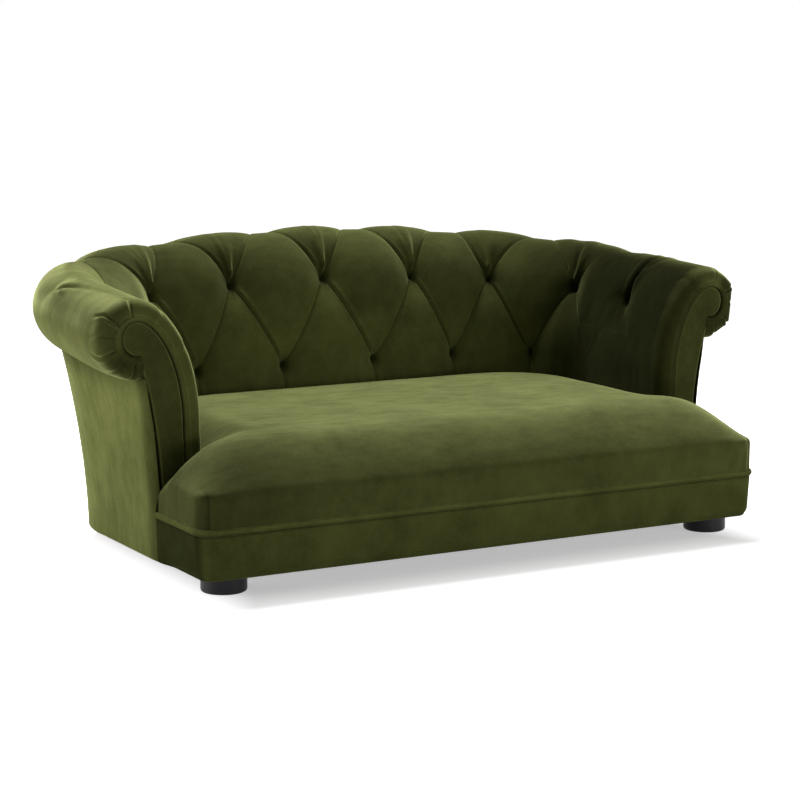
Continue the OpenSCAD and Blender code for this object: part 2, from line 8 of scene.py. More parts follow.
import bpy
import numpy as np
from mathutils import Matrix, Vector


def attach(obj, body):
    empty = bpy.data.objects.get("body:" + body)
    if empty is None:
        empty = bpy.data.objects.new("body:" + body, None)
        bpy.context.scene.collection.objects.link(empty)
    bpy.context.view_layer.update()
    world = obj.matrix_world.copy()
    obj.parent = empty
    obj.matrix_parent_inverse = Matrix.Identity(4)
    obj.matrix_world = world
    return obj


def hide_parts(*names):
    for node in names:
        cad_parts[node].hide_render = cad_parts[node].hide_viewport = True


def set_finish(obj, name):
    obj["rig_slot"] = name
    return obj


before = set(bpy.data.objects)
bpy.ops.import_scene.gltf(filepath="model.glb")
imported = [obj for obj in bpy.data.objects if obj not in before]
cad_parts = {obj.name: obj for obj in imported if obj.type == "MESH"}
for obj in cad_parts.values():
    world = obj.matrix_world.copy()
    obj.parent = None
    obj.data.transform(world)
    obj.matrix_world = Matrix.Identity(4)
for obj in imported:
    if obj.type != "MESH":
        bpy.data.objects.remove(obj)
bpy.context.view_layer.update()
MM = 0.001
scene = bpy.context.scene

# Sizes of the sofa, the same as in the part's source
BASE_W, BASE_D = 924, 578
BACK_H, ARM_H, EAR_D = 446, 392, 152
WALL_T, CORNER_R = 77, 150
ROLL_OUT, ROLL_R, LEAN = 101, 57, 3
PITCH, CORNER_PITCH, TUFT_DEPTH, LOWER_H = 165, 134, 20, 230
WELT_H, WELT_D = 92, 9.4
SEAT_EDGE_H, SEAT_BACK_EDGE_H, SEAT_CROWN_H, SEAT_CORNER_R = 142, 176, 206, 26
FOOT_H, BOARD_T, PAD_T, FOAM_T, COVER_T, PANEL_T = 25, 12, 24, 12, 6, 3.2
SOFT_GAP = 0.4
TOP_TURN, OUTER_TUFT_TURN, CORNER_NECK, ARM_NECK = 90, 135, 250, 276
CORNER_BULGE = 9
EDGE_R, EDGE_LIP = 28, 3
TOP_CURVE, BEND_SHARE, UPPER_TUFT_SHARE = 1.6, 0.55, 0.84

# The roll closes a little further at the front of the arms, down to the facing
CLOSING_RUN, CLOSING_TURN = 26, 9

WELT_OUT = WELT_D / 3
ROLL_BACK = ROLL_OUT + ROLL_R - WALL_T
FRONT_Y = WELT_OUT - (BASE_D + WELT_OUT + ROLL_BACK) / 2
HALF_W = BASE_W / 2
ARM_X = HALF_W - WALL_T
BACK_Y = FRONT_Y + BASE_D - WALL_T
ARM_FRONT_Y = FRONT_Y + EAR_D
BACK_HALF = ARM_X - CORNER_R
CORNER_Y = BACK_Y - CORNER_R
LINE_R = CORNER_R + TUFT_DEPTH
CORNER_RUN = LINE_R * math.pi / 2
ARM_RUN = CORNER_Y - ARM_FRONT_Y
WALL_HALF = BACK_HALF + CORNER_RUN + ARM_RUN
ARM_END = WALL_HALF - EDGE_R
HALF_PITCH, CORNER_HALF = PITCH / 2, CORNER_PITCH / 2
DECK_TOP = WELT_H - BOARD_T / 3 + BOARD_T
COVER_Z = DECK_TOP + SOFT_GAP


def smooth(x):
    x = np.clip(x, 0, 1)
    return x * x * (3 - 2 * x)


def rise(x, start, end):
    """Goes from 0 at start to 1 at end, and levels off at both."""
    return smooth((x - start) / (end - start))


def bell(x, at, width):
    """Is 1 at one place and falls off to both sides of it."""
    return np.exp(-((x - at) / width) ** 2)


def patch(x, change, at, width):
    return change * bell(x, at, width)


def to_odd(x):
    """Distance to the nearest odd number."""
    return abs(x - 2 * np.round((x - 1) / 2) - 1)


# The wall: places along it are counted from the middle of the back, to the right
def place(step):
    """Distance along the wall of a step of the tufting."""
    far = np.abs(step)
    return np.sign(step) * (np.minimum(far, 2) * HALF_PITCH + np.maximum(0, far - 2) * CORNER_HALF)


def step_at(s):
    far = np.abs(s)
    return np.sign(s) * (np.minimum(far, PITCH) / HALF_PITCH + np.maximum(0, far - PITCH) / CORNER_HALF)


def turn(s):
    """How far the wall has turned round its corner."""
    return np.clip(np.degrees((np.abs(s) - BACK_HALF) / LINE_R), 0, 90)


def bulge(s):
    return CORNER_BULGE * np.sin(np.radians(2 * turn(s)))


def neck_turn(s):
    return CORNER_NECK + (ARM_NECK - CORNER_NECK) * np.clip(
        (np.abs(s) - BACK_HALF - CORNER_RUN) / (ARM_RUN - EDGE_R), 0, 1)


def closing_turn(s):
    return neck_turn(s) + CLOSING_TURN * rise(np.abs(s), ARM_END - CLOSING_RUN, ARM_END)


def top_h(s):
    return ARM_H + (BACK_H - ARM_H) * np.maximum(0, np.cos(np.radians(90 * s / WALL_HALF))) ** TOP_CURVE


def bend_h(s):
    return BEND_SHARE * top_h(s)


def wall_point(s, out, z):
    """Point of the wall at a distance s along it and out from its inside face."""
    t = np.radians(turn(s))
    run = np.maximum(0, abs(s) - BACK_HALF - CORNER_RUN)
    x = np.sign(s) * (np.minimum(abs(s), BACK_HALF) + (CORNER_R + out) * np.sin(t))
    y = CORNER_Y - run + (CORNER_R + out) * np.cos(t)
    return np.stack(np.broadcast_arrays(x, y, z), -1)


def row_h(s, row):
    up = np.where(row < 0, LOWER_H - COVER_Z, UPPER_TUFT_SHARE * top_h(s) - LOWER_H)
    return LOWER_H + row * up


def section(s, row, depth):
    """Section of the padded wall: place, normal and turn. Rows 0, 1 and 2 hold the tufts, row -1
    is the foot of the cover and row 3 its end at the neck of the roll."""
    s, row, depth = np.broadcast_arrays(*(np.asarray(v, float) for v in (s, row, depth)))
    up = top_h(s) - bend_h(s) - depth
    face = np.degrees(np.arcsin(np.clip((row_h(s, np.minimum(row, 1)) - bend_h(s)) / up, 0, 1)))
    a = np.where(row <= 1, face, np.where(
        row <= 2, face + (row - 1) * (OUTER_TUFT_TURN - face),
        OUTER_TUFT_TURN + (row - 2) * (closing_turn(s) - OUTER_TUFT_TURN)))
    c, n = np.cos(np.radians(a)), np.sin(np.radians(a))
    round_out, round_z = ROLL_OUT - (ROLL_R - depth) * c, top_h(s) - ROLL_R + (ROLL_R - depth) * n
    face_out, face_z = ROLL_OUT - (ROLL_OUT - LEAN - depth) * c, bend_h(s) + up * n
    flat = (row <= 1) & (row_h(s, row) < bend_h(s))
    flat_out = depth + LEAN * (row_h(s, row) - COVER_Z) / (bend_h(s) - COVER_Z)
    out = np.where(flat, flat_out, np.where(a > TOP_TURN, round_out, face_out))
    z = np.where(flat, row_h(s, row), np.where(a > TOP_TURN, round_z, face_z))
    w = np.where(a > TOP_TURN, 1, (ROLL_OUT - LEAN - depth) / up)
    normal = np.stack([-c, n * w], -1)
    return out, z, normal / np.linalg.norm(normal, axis=-1, keepdims=True), a


# Tufting: how deep the surface lies below the puffs, for each place of the wall. The upper tufts
# are at the even steps and the lower ones at the odd steps. Seams join them in diamonds.
FOLD_DEPTH, SEAM_DEPTH, LAP_DEPTH, RIGHT_ARM_SINK = 10, 2.0, 2.4, 4
WELL_DEPTH, ARM_WELL_DEPTH, PIT_DEPTH, MAX_DEPTH = 21, 13, 9, 31
SEAM_W, PIT_W, WELL_W, FOLD_CURVE, WELL_CURVE, OVER_CURVE = 0.028, 0.11, 0.3, 2.8, 1.3, 1.9
ARM_SEAMS, LESS_OVER_ROLL, LESS_OUTSIDE = 0.08, 0.45, 0.6
ROW_LEN = 135
BACK_END_STEP, ARM_STEP, END_STEP = 6, 7, 8
JOIN = float(place(BACK_END_STEP))
SEAM_END_STEPS, TUFT_END_STEPS, LOWER_END_STEPS = (5.95, 6.55), (8.3, 8.8), (6, 6.6)
ARM_WELL_STEPS, ARM_SEAM_END_STEPS, SINK_W = (6.6, 7.4), (8, 8.8), 1.1
OVER_ROLL_ROWS, OUTER_ROWS, SINK_ROWS = (1, 1.35), (1.25, 1.75), (1.05, 1.45)
# The lap along a seam and the hollow beside it: share, place and width, and where laps start
LAP, LAP_HOLLOW, LAP_START = (1, 0.06, 0.038), (-0.4, -0.01, 0.03), (0.12, 0.32)
# How fast these fade beyond the tufted rows
BROAD_FADE, SEAM_FADE, FIELD_FADE = 0.75, 1.2, 1.6

# How far the folds are drawn along the wall over the roll, round which place and how widely
ROLL_SHIFTS = ((27, 255, 85), (-15, 490, 60))
SHIFT_ROWS = (1.05, 1.8)

# Gathers above each upper tuft: how far each leans, and how high, long and wide they are
GATHER_LEANS = (-0.25, -0.02, 0.15, 0.3)
GATHER_HIGH, END_GATHER_HIGH, GATHER_W, GATHER_WIDENS, GATHER_START = 6.5, 0.8, 2.1, 0.05, (1, 10)
GATHER_SLOPE, SLOPE_VARIES, GATHER_REACH, REACH_VARIES = 0.8, 0.05, 27, 9
rng = np.random.default_rng(7)
jitter = rng.uniform(-1, 1, (40, 8))

# Creases that run from the last tufts: turn round the roll and place along the wall at the
# start and at the end of each, depth and width
END_TUFT = float(place(END_STEP))
ARM_CREASES = {
    -1: [(128, place(ARM_STEP), 84, ARM_END - 30, 4.5, 5),
         (135, place(ARM_STEP), 160, ARM_END - 46, 2.5, 6)],
    1: [(46, END_TUFT, 170, END_TUFT - 10, 6, 5),
        (40, END_TUFT, 34, END_TUFT - 46, 2.6, 4),
        (46, JOIN, 112, JOIN - 24, 6, 4.5),
        (40, END_TUFT - 2, 22, END_TUFT + 34, 1.6, 5),
        (38, JOIN, 30, JOIN - 26, 2.2, 4),
        (58, END_TUFT + 2, 96, END_TUFT + 26, 1.8, 4)]}
CREASE_WANDER, CREASE_START, CREASE_FADE, CREASE_WIDENS = 2.5, (-0.12, 0.03), 0.8, (0.7, 0.9)
RIDGE_SHARE, RIDGE_AT, RIDGE_W, CREASED_FROM_ROW = 0.35, 2.4, 1.3, 0.2

# Depths of a layer under the cover, away from the tufts, and what it gives way under each tuft
COVER_BACK = (PAD_T, PIT_DEPTH)
FOAM_FRONT, FOAM_BACK = (PAD_T + SOFT_GAP, PIT_DEPTH), (PAD_T + FOAM_T, 0.5)
GIVE_W = 0.35


def roll_shift(s, row):
    """How far the folds are drawn along the wall where they run over the roll."""
    shift = sum(far * bell(abs(s), at, width) for far, at, width in ROLL_SHIFTS)
    return np.sign(s) * shift * rise(row, *SHIFT_ROWS)


def tuft_fields(s, row):
    """Steps along the wall, rows up it, and how far a place lies beyond the tufted rows."""
    step = step_at(s - roll_shift(s, row))
    r = np.clip(row, 0, 2)
    r = np.where(r > 1, 2 - np.abs(2 - r) ** OVER_CURVE, r)
    beyond = np.maximum(0, np.maximum(-row, row - 2))
    return step, r, beyond


def tuft_distance(step, r, beyond):
    return np.sqrt(to_odd(step + r) ** 2 + to_odd(step - r) ** 2 + 2 * beyond ** 2)


def seam_share(step):
    """The seams fade out where the arms begin."""
    return 1 - rise(abs(step), *SEAM_END_STEPS)


def fading(beyond, rate):
    return np.maximum(0, 1 - rate * beyond)


def dent(s, row):
    """Depth of the tufted surface: seams in broad folds, wells with pits, laps and gathers."""
    step, r, beyond = tuft_fields(s, row)
    far = abs(step)
    p, q, rho = to_odd(step + r), to_odd(step - r), tuft_distance(step, r, beyond)
    over_roll, outer = rise(row, *OVER_ROLL_ROWS), rise(row, *OUTER_ROWS)
    seams = (1 - ARM_SEAMS) * seam_share(step) + ARM_SEAMS * (1 - rise(far, *ARM_SEAM_END_STEPS))
    broad = (1 - (1 - (1 - p) ** FOLD_CURVE) * (1 - (1 - q) ** FOLD_CURVE)) * fading(beyond, BROAD_FADE)
    groove = np.maximum(bell(p, 0, SEAM_W), bell(q, 0, SEAM_W)) * fading(beyond, SEAM_FADE)
    wells = (1 - rise(far, *TUFT_END_STEPS)) * (1 - rise(far, *LOWER_END_STEPS) * (row < 0.5))
    well = np.exp(-(rho / WELL_W) ** WELL_CURVE) * wells * (1 - LESS_OUTSIDE * outer)
    pit = bell(rho, 0, PIT_W) * wells * (1 - outer)
    fold = FOLD_DEPTH * (1 - LESS_OVER_ROLL * over_roll)
    drawn = WELL_DEPTH + (ARM_WELL_DEPTH - WELL_DEPTH) * rise(far, *ARM_WELL_STEPS)
    deep = seams * (fold * broad + SEAM_DEPTH * groove) + (drawn - fold * seams) * well + PIT_DEPTH * pit
    deep = deep + RIGHT_ARM_SINK * bell(step, ARM_STEP, SINK_W) * rise(row, *SINK_ROWS)
    # The seams that run down to the right lap over the puff below them
    over = step + r - 2 * np.round((step + r - 1) / 2) - 1
    lap = (patch(over, *LAP) + patch(over, *LAP_HOLLOW)) * (1 - over_roll)
    deep = deep - LAP_DEPTH * lap * seams * rise(rho, *LAP_START) * fading(beyond, SEAM_FADE)
    return np.minimum(MAX_DEPTH, deep - gathers(s, row))


def gathers(s, row):
    """Small folds that run up from each upper tuft, between its two seams."""
    total = np.zeros(np.broadcast(s, row).shape)
    up = (row - 1) * ROW_LEN
    above = np.maximum(up, 0)
    for k in range(-END_STEP, END_STEP + 1, 2):
        j = jitter[k + END_STEP]
        high = GATHER_HIGH if abs(k) < END_STEP else END_GATHER_HIGH
        for i, at in enumerate(GATHER_LEANS):
            across = s - place(k) - GATHER_SLOPE * (at + SLOPE_VARIES * j[i]) * up
            reach = GATHER_REACH + REACH_VARIES * j[i + 3]
            shown = high * rise(up, *GATHER_START) * np.exp(-above / reach)
            total += np.where(up > 0, shown * bell(across, 0, GATHER_W + GATHER_WIDENS * above), 0)
    return total


def creases(s, row):
    """The creases of the arms, with a slight ridge along both sides of each."""
    a = section(s, row, 0)[3]
    total = np.zeros(np.broadcast(s, row).shape)
    for side, lines in ARM_CREASES.items():
        for a0, s0, a1, s1, deep, wide in lines:
            u, v = np.radians(a - a0) * ROLL_R, side * s - s0
            du, dv = math.radians(a1 - a0) * ROLL_R, s1 - s0
            length = math.hypot(du, dv)
            t = (u * du + v * dv) / length ** 2
            off = (u * dv - v * du) / length + CREASE_WANDER * np.sin(4 * t)
            width = wide * (CREASE_WIDENS[0] + CREASE_WIDENS[1] * np.clip(t, 0, 1))
            here = (side * s > 0) * (row > CREASED_FROM_ROW)
            share = rise(t, *CREASE_START) * np.clip(1 - t, 0, 1) ** CREASE_FADE * here
            ridge = RIDGE_SHARE * bell(abs(off), RIDGE_AT * width, RIDGE_W * width)
            total += deep * share * (bell(off, 0, width) - ridge)
    return total


def cover_points(s, row, under=None):
    """Surface of the tufted cover, or that of a layer below it, which gives way to its pits."""
    out, z, normal, _ = section(s, row, 0)
    if under is None:
        depth = dent(s, row) + creases(s, row)
    else:
        depth = under[0] + under[1] * bell(tuft_distance(*tuft_fields(s, row)), 0, GIVE_W)
    return wall_point(s, out - depth * normal[..., 0], z - depth * normal[..., 1])


# Meshes
CAP_SHARE = 0.06


def make(name, verts, faces, slot, material, attribute=None):
    """Mesh object. The attribute holds two seam fields, their share and the level of the nap with painted
    light and shade.
    """
    mesh = bpy.data.meshes.new(name)
    mesh.from_pydata((np.asarray(verts, float) * MM).tolist(), [], [list(map(int, f)) for f in faces])
    mesh.validate()
    if attribute is not None:
        layer = mesh.attributes.new("tuft", "FLOAT_VECTOR", "POINT")
        layer.data.foreach_set("vector", np.asarray(attribute[:, :3], np.float32).ravel())
        layer = mesh.attributes.new("nap_and_painted_light", "FLOAT", "POINT")
        layer.data.foreach_set("value", np.asarray(attribute[:, 3], np.float32))
    mesh.materials.append(material)
    mesh.polygons.foreach_set("use_smooth", [len(f.vertices) <= 4 for f in mesh.polygons])
    obj = bpy.data.objects.new(name, mesh)
    scene.collection.objects.link(obj)
    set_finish(obj, slot)
    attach(obj, "root")
    return obj


def edged(a):
    """Adds a loop just inside each end, so that the caps leave the shading of the sides alone."""
    second = a[:1] + CAP_SHARE * (a[1:2] - a[:1])
    last_but_one = a[-1:] + CAP_SHARE * (a[-2:-1] - a[-1:])
    return np.concatenate([a[:1], second, a[1:-1], last_but_one, a[-1:]])


def loft(name, loops, slot, material, attribute=None, flip=False):
    """Closed solid through closed loops of points, with flat caps."""
    loops = np.asarray(loops, float)
    if attribute is not None:
        attribute = edged(np.reshape(attribute, (*loops.shape[:2], 4))).reshape(-1, 4)
    loops = edged(loops)
    n, m = loops.shape[:2]
    i, j = np.meshgrid(np.arange(n - 1), np.arange(m), indexing="ij")
    k = (j + 1) % m
    faces = np.stack([i * m + j, (i + 1) * m + j, (i + 1) * m + k, i * m + k], -1).reshape(-1, 4)
    if flip:
        faces = faces[:, ::-1]
    faces = faces.tolist()
    first, last = list(range(m)), list(range((n - 1) * m, n * m))
    faces += [first[::-1], last] if flip else [first, last[::-1]]
    return make(name, loops.reshape(-1, 3), faces, slot, material, attribute)


def level_without_tufts(loops, level):
    """Attribute of a piece without tufts: its level of nap and painted light and shade, for each point or
    each loop.
    """
    attribute = np.zeros((*np.shape(loops)[:2], 4))
    attribute[..., 3] = level
    return attribute


# Materials
VELVET_DARK, VELVET_LIGHT = (0.034, 0.0375, 0.0095), (0.072, 0.079, 0.021)
SEAM_COLOUR = (0.02, 0.026, 0.007, 1)
SHEEN_TINT = (0.74, 0.80, 0.34, 1)
SEAM_FIELD, SEAM_STRENGTH = (0.984, 0.997), 0.7
PATCH_RANGE, FIBRE_RANGE, PATCH_SHARE, MOST_SHEEN = (0.36, 0.64), (0.3, 0.7), 0.68, 1.3
SHEEN_LEAST, SHEEN_BRUSHED = 0.65, 0.7

# Darts at the seat's front corners: how far out, how high and how far back they run
DART_X, DART_TOP, DART_END_Y = 449, 156, FRONT_Y + 32
DART_LINE, DART_LINE_FADE = (1.9, 0.7), 10


def nodes_of(name):
    mat = bpy.data.materials.new(name)
    mat.use_nodes = True
    tree = mat.node_tree
    return mat, tree, tree.nodes["Principled BSDF"]


def node(tree, kind, inputs=(), **settings):
    n = tree.nodes.new(kind)
    for key, value in settings.items():
        setattr(n, key, value)
    for key, value in dict(inputs).items():
        if isinstance(value, bpy.types.NodeSocket):
            tree.links.new(value, n.inputs[key])
        else:
            n.inputs[key].default_value = value
    return n


def maths(tree, operation, a, b=0.0, c=0.0):
    return node(tree, "ShaderNodeMath", {0: a, 1: b, 2: c}, operation=operation).outputs[0]


def largest(tree, first, *others):
    for other in others:
        first = maths(tree, "MAXIMUM", first, other)
    return first


def product(tree, first, *others):
    for other in others:
        first = maths(tree, "MULTIPLY", first, other)
    return first


def blended(tree, a, share_a, b, share_b):
    return maths(tree, "ADD", maths(tree, "MULTIPLY", a, share_a), maths(tree, "MULTIPLY", b, share_b))


def ramp(tree, value, start, end, low=0.0, high=1.0, kind="LINEAR"):
    inputs = {"Value": value, "From Min": start, "From Max": end, "To Min": low, "To Max": high}
    return node(tree, "ShaderNodeMapRange", inputs, interpolation_type=kind).outputs[0]


def mixed(tree, share, a, b):
    return node(tree, "ShaderNodeMix", {0: share, 6: a, 7: b}, data_type="RGBA").outputs[2]


def noise(tree, vector, scale, detail, rough):
    inputs = {"Vector": vector, "Scale": scale, "Detail": detail, "Roughness": rough}
    return node(tree, "ShaderNodeTexNoise", inputs).outputs[0]


def object_place(tree):
    return node(tree, "ShaderNodeTexCoord").outputs["Object"]


def axes(tree, vector):
    return node(tree, "ShaderNodeSeparateXYZ", {0: vector}).outputs


def add_bump(tree, bsdf, height, strength, distance):
    bump = node(tree, "ShaderNodeBump", {"Strength": strength, "Distance": distance, "Height": height})
    tree.links.new(bump.outputs[0], bsdf.inputs["Normal"])


def seam_lines(tree):
    """Lines along the seams of the tufting, from the fields that the covers carry."""
    fields = axes(tree, node(tree, "ShaderNodeAttribute", attribute_name="tuft").outputs["Vector"])
    near = [maths(tree, "PINGPONG", fields[key], 1.0) for key in (0, 1)]
    lines = [ramp(tree, value, *SEAM_FIELD, kind="SMOOTHSTEP") for value in near]
    return product(tree, largest(tree, *lines), fields[2])


def dart_lines(tree, where):
    """Lines along the darts at the front corners of the seat."""
    x, y, z = axes(tree, where)
    off = maths(tree, "ABSOLUTE", maths(tree, "SUBTRACT", maths(tree, "ABSOLUTE", x), DART_X * MM))
    line = ramp(tree, off, DART_LINE[0] * MM, DART_LINE[1] * MM)
    low = ramp(tree, z, DART_TOP * MM, (DART_TOP - DART_LINE_FADE) * MM)
    return product(tree, line, low, maths(tree, "LESS_THAN", y, DART_END_Y * MM))


def velvet_material(name, shade=1.0, sheen=0.9, darts=False):
    """Velvet with patches and streaks of brushed pile. Its mesh carries the level of the nap, with painted
    light and shade, and the fields of the seams at each point."""
    mat, tree, bsdf = nodes_of(name)
    where = object_place(tree)
    patches = noise(tree, where, scale=9.0, detail=5.0, rough=0.6)
    along = node(tree, "ShaderNodeMapping", {"Vector": where, "Scale": (0.6, 1.5, 0.5)}).outputs[0]
    streaks = noise(tree, along, scale=45.0, detail=4.0, rough=0.65)
    fibre = noise(tree, where, scale=420.0, detail=3.0, rough=0.7)
    share = ramp(tree, blended(tree, patches, 0.5, streaks, 0.5), *PATCH_RANGE)
    share = blended(tree, share, PATCH_SHARE, ramp(tree, fibre, *FIBRE_RANGE), 1 - PATCH_SHARE)
    dark, light = ((*(shade * c for c in colour), 1) for colour in (VELVET_DARK, VELVET_LIGHT))
    colour = mixed(tree, share, dark, light)
    # The level carries the nap with painted light and painted shade; it scales the colour and the sheen
    level = node(tree, "ShaderNodeAttribute", attribute_name="nap_and_painted_light").outputs["Fac"]
    colour = node(tree, "ShaderNodeVectorMath", {0: colour, "Scale": level}, operation="SCALE").outputs[0]
    brushed_with_painted_light = maths(tree, "MULTIPLY_ADD", share, SHEEN_BRUSHED * sheen, SHEEN_LEAST * sheen)
    brushed_with_painted_light = product(tree, maths(tree, "MINIMUM", level, MOST_SHEEN), brushed_with_painted_light)
    tree.links.new(brushed_with_painted_light, bsdf.inputs["Sheen Weight"])
    lines = seam_lines(tree)
    if darts:
        lines = largest(tree, lines, dart_lines(tree, where))
    colour = mixed(tree, product(tree, lines, SEAM_STRENGTH), colour, SEAM_COLOUR)
    tree.links.new(colour, bsdf.inputs["Base Color"])
    bsdf.inputs["Roughness"].default_value = 0.92
    bsdf.inputs["Specular IOR Level"].default_value = 0.01
    bsdf.inputs["Sheen Weight"].default_value = sheen
    bsdf.inputs["Sheen Roughness"].default_value = 0.42
    bsdf.inputs["Sheen Tint"].default_value = SHEEN_TINT
    add_bump(tree, bsdf, blended(tree, fibre, 0.4, streaks, 0.6), strength=0.4, distance=0.001)
    return mat


def wood_material(name, light, dark, scale, stretch):
    mat, tree, bsdf = nodes_of(name)
    along = node(tree, "ShaderNodeMapping", {"Vector": object_place(tree), "Scale": stretch}).outputs[0]
    grain = noise(tree, along, scale, detail=6.0, rough=0.65)
    wave = {"Vector": along, "Scale": scale * 0.4, "Distortion": 6.0, "Detail": 3.0}
    rings = node(tree, "ShaderNodeTexWave", wave).outputs[1]
    tree.links.new(mixed(tree, blended(tree, grain, 0.6, rings, 0.4), dark, light), bsdf.inputs["Base Color"])
    bsdf.inputs["Roughness"].default_value = 0.62
    add_bump(tree, bsdf, grain, strength=0.2, distance=0.0005)
    return mat


def plain_material(name, dark, light, scale, rough, metallic=0.0, bump_depth=0.0003, specular=0.5):
    mat, tree, bsdf = nodes_of(name)
    fine = noise(tree, object_place(tree), scale, detail=4.0, rough=0.6)
    tree.links.new(mixed(tree, fine, (*dark, 1), (*light, 1)), bsdf.inputs["Base Color"])
    bsdf.inputs["Roughness"].default_value = rough
    bsdf.inputs["Specular IOR Level"].default_value = specular
    bsdf.inputs["Metallic"].default_value = metallic
    add_bump(tree, bsdf, fine, strength=0.3, distance=bump_depth)
    return mat


velvet_cord = velvet_material("velvet_cord", shade=1.6, sheen=0.35)
facing_velvet = velvet_material("facing_velvet")
seat_velvet = velvet_material("seat_velvet", darts=True)
tufted = velvet_material("tufted_velvet", sheen=0.7)
# Copies of the velvet with the nap brushed up and down: darker for the border and lighter for the outside
# panels, partly brushed nap and partly painted shade and painted light
velvet_nap_up_shaded = velvet_material("velvet_nap_up_painted_shade", shade=0.95, sheen=0.3)
velvet_nap_down_lit = velvet_material("velvet_nap_down_painted_light", shade=2.1, sheen=1.0)
foam = plain_material(
    "cut_foam", (0.62, 0.55, 0.33), (0.82, 0.76, 0.52), scale=420, rough=0.95, bump_depth=0.001)
plywood = wood_material(
    "birch_plywood", (0.66, 0.47, 0.26, 1), (0.42, 0.27, 0.13, 1), scale=22, stretch=(0.15, 1, 6))
pine = wood_material(
    "planed_pine", (0.72, 0.53, 0.3, 1), (0.5, 0.33, 0.16, 1), scale=18, stretch=(0.12, 1, 1))
foot_black = plain_material(
    "foot_black", (0.006, 0.006, 0.008), (0.011, 0.011, 0.014), scale=260, rough=0.42, specular=0.2)
dust_cloth = plain_material(
    "dust_cloth", (0.012, 0.012, 0.013), (0.035, 0.035, 0.037), scale=1400, rough=0.95, bump_depth=0.0006)
steel = plain_material(
    "zinc_steel", (0.45, 0.45, 0.47), (0.68, 0.68, 0.7), scale=160, rough=0.35, metallic=1.0)


# Tufted cover of the wall
FINE = 2.0
ROWS = np.concatenate([
    np.linspace(-1, 1, int(2 * ROW_LEN / FINE))[:-1], np.linspace(1, 3, int(4.4 * ROW_LEN / FINE))])
INNER_ROWS = np.linspace(3, -1, 40)

# Where the level of nap and painted light changes, as turns round the roll, rows, and places along the wall
HANGING_TURNS, UNDER_ROLL_TURNS, FACE_TURNS, DARKEST_TURNS = (75, 145), (195, 250), (70, 110), (10, 50)
FOOT_ROWS, PUFF_START_ROWS, PUFF_END_ROWS, TOP_ROWS = (-0.2, 0.7), (-0.05, 0.35), (0.72, 1.02), (0.95, 1.25)
FOOT_PLACES, BACK_PLACES = (JOIN - 110, JOIN), (JOIN - 70, JOIN + 20)
LEFT_ARM_PLACES, RIGHT_ARM_PLACES = (JOIN - 80, JOIN + 40), (place(3.7), place(6.9))
# How much the level changes there: lighter outside, where the pile hangs down and painted light falls on the
# roll's top; painted shade under the roll; painted light at the foot of the back and on its puffs, and
# painted shade on its upper rows; and darker inside the right arm, partly brushed nap and partly painted
# shade
HANGING_NAP_AND_LIGHT, ROLL_UNDERSIDE_SHADE, FOOT, PUFFS, TOP, RIGHT_ARM_NAP_AND_SHADE, DARKEST = 0.9, 0.8, 0.6, 0.26, 0.22, 0.78, 0.08
# Painted highlight and painted shade on the left arm's roll, painted light in the middle of the back and
# painted shade near its top: change, place and width
LEFT_FACE_HIGHLIGHT, LEFT_HEAD_SHADE, MIDDLE, BACK_EDGE = (0.9, 68, 32), (-1.05, 145, 26), (0.28, -20, 190), (-0.25, 82, 18)
# Shade in the pits of the tufts, and where it ends
PIT_SHADE, PIT_SHADE_W, PINNED_ROWS, LOWER_PIT_END = 0.75, 0.1, (1.3, 1.7), 6.3


def nap_and_painted_light(s, a, row):
    """How bright the pile looks: it hangs down outside and is brushed darker inside one arm, with painted
    light and painted shade laid over it.
    """
    far = abs(s)
    outside = rise(a, *HANGING_TURNS)
    foot = (1 - rise(row, *FOOT_ROWS)) * (1 - rise(far, *FOOT_PLACES))
    level = 1 + HANGING_NAP_AND_LIGHT * outside - ROLL_UNDERSIDE_SHADE * rise(a, *UNDER_ROLL_TURNS) + FOOT * foot
    level = level + rise(-s, *LEFT_ARM_PLACES) * (patch(a, *LEFT_FACE_HIGHLIGHT) + patch(a, *LEFT_HEAD_SHADE))
    level = level + patch(s, *MIDDLE) * (1 - outside) + patch(a, *BACK_EDGE) * (far < JOIN)
    puffs = rise(row, *PUFF_START_ROWS) * (1 - rise(row, *PUFF_END_ROWS))
    top = rise(row, *TOP_ROWS) * (1 - outside)
    level = level * (1 + (1 - rise(far, *BACK_PLACES)) * (PUFFS * puffs - TOP * top))
    right = rise(s, *RIGHT_ARM_PLACES) * (1 - rise(a, *FACE_TURNS))
    return level * (1 - right * (RIGHT_ARM_NAP_AND_SHADE + DARKEST * rise(a, *DARKEST_TURNS)))


def tuft_attribute(s, rows):
    """Fields of the seams, and the level of nap and painted light with painted shade in the pits, for the
    points of a cover, and none for its back.
    """
    step, r, beyond = tuft_fields(s, rows)
    pinned = (1 - rise(abs(step), *TUFT_END_STEPS)) * (1 - rise(rows, *PINNED_ROWS))
    pinned = pinned * ((abs(step) < LOWER_PIT_END) | (rows > 0.5))
    shade = 1 - PIT_SHADE * bell(tuft_distance(step, r, beyond), 0, PIT_SHADE_W) * pinned
    level = nap_and_painted_light(s, section(s, rows, 0)[3], rows) * shade
    seams = seam_share(step) * fading(beyond, FIELD_FADE)
    outer = np.stack(np.broadcast_arrays(step + r, step - r, seams, level), -1)
    return np.concatenate([outer, np.zeros((len(outer), len(INNER_ROWS), 4))], 1).reshape(-1, 4)


def wall_cover(name, stops, flip):
    s = np.asarray(stops)[:, None]
    loops = np.concatenate([cover_points(s, ROWS[None]), cover_points(s, INNER_ROWS[None], COVER_BACK)], 1)
    return loft(name, loops, "velvet", tufted, tuft_attribute(s, ROWS[None]), flip)


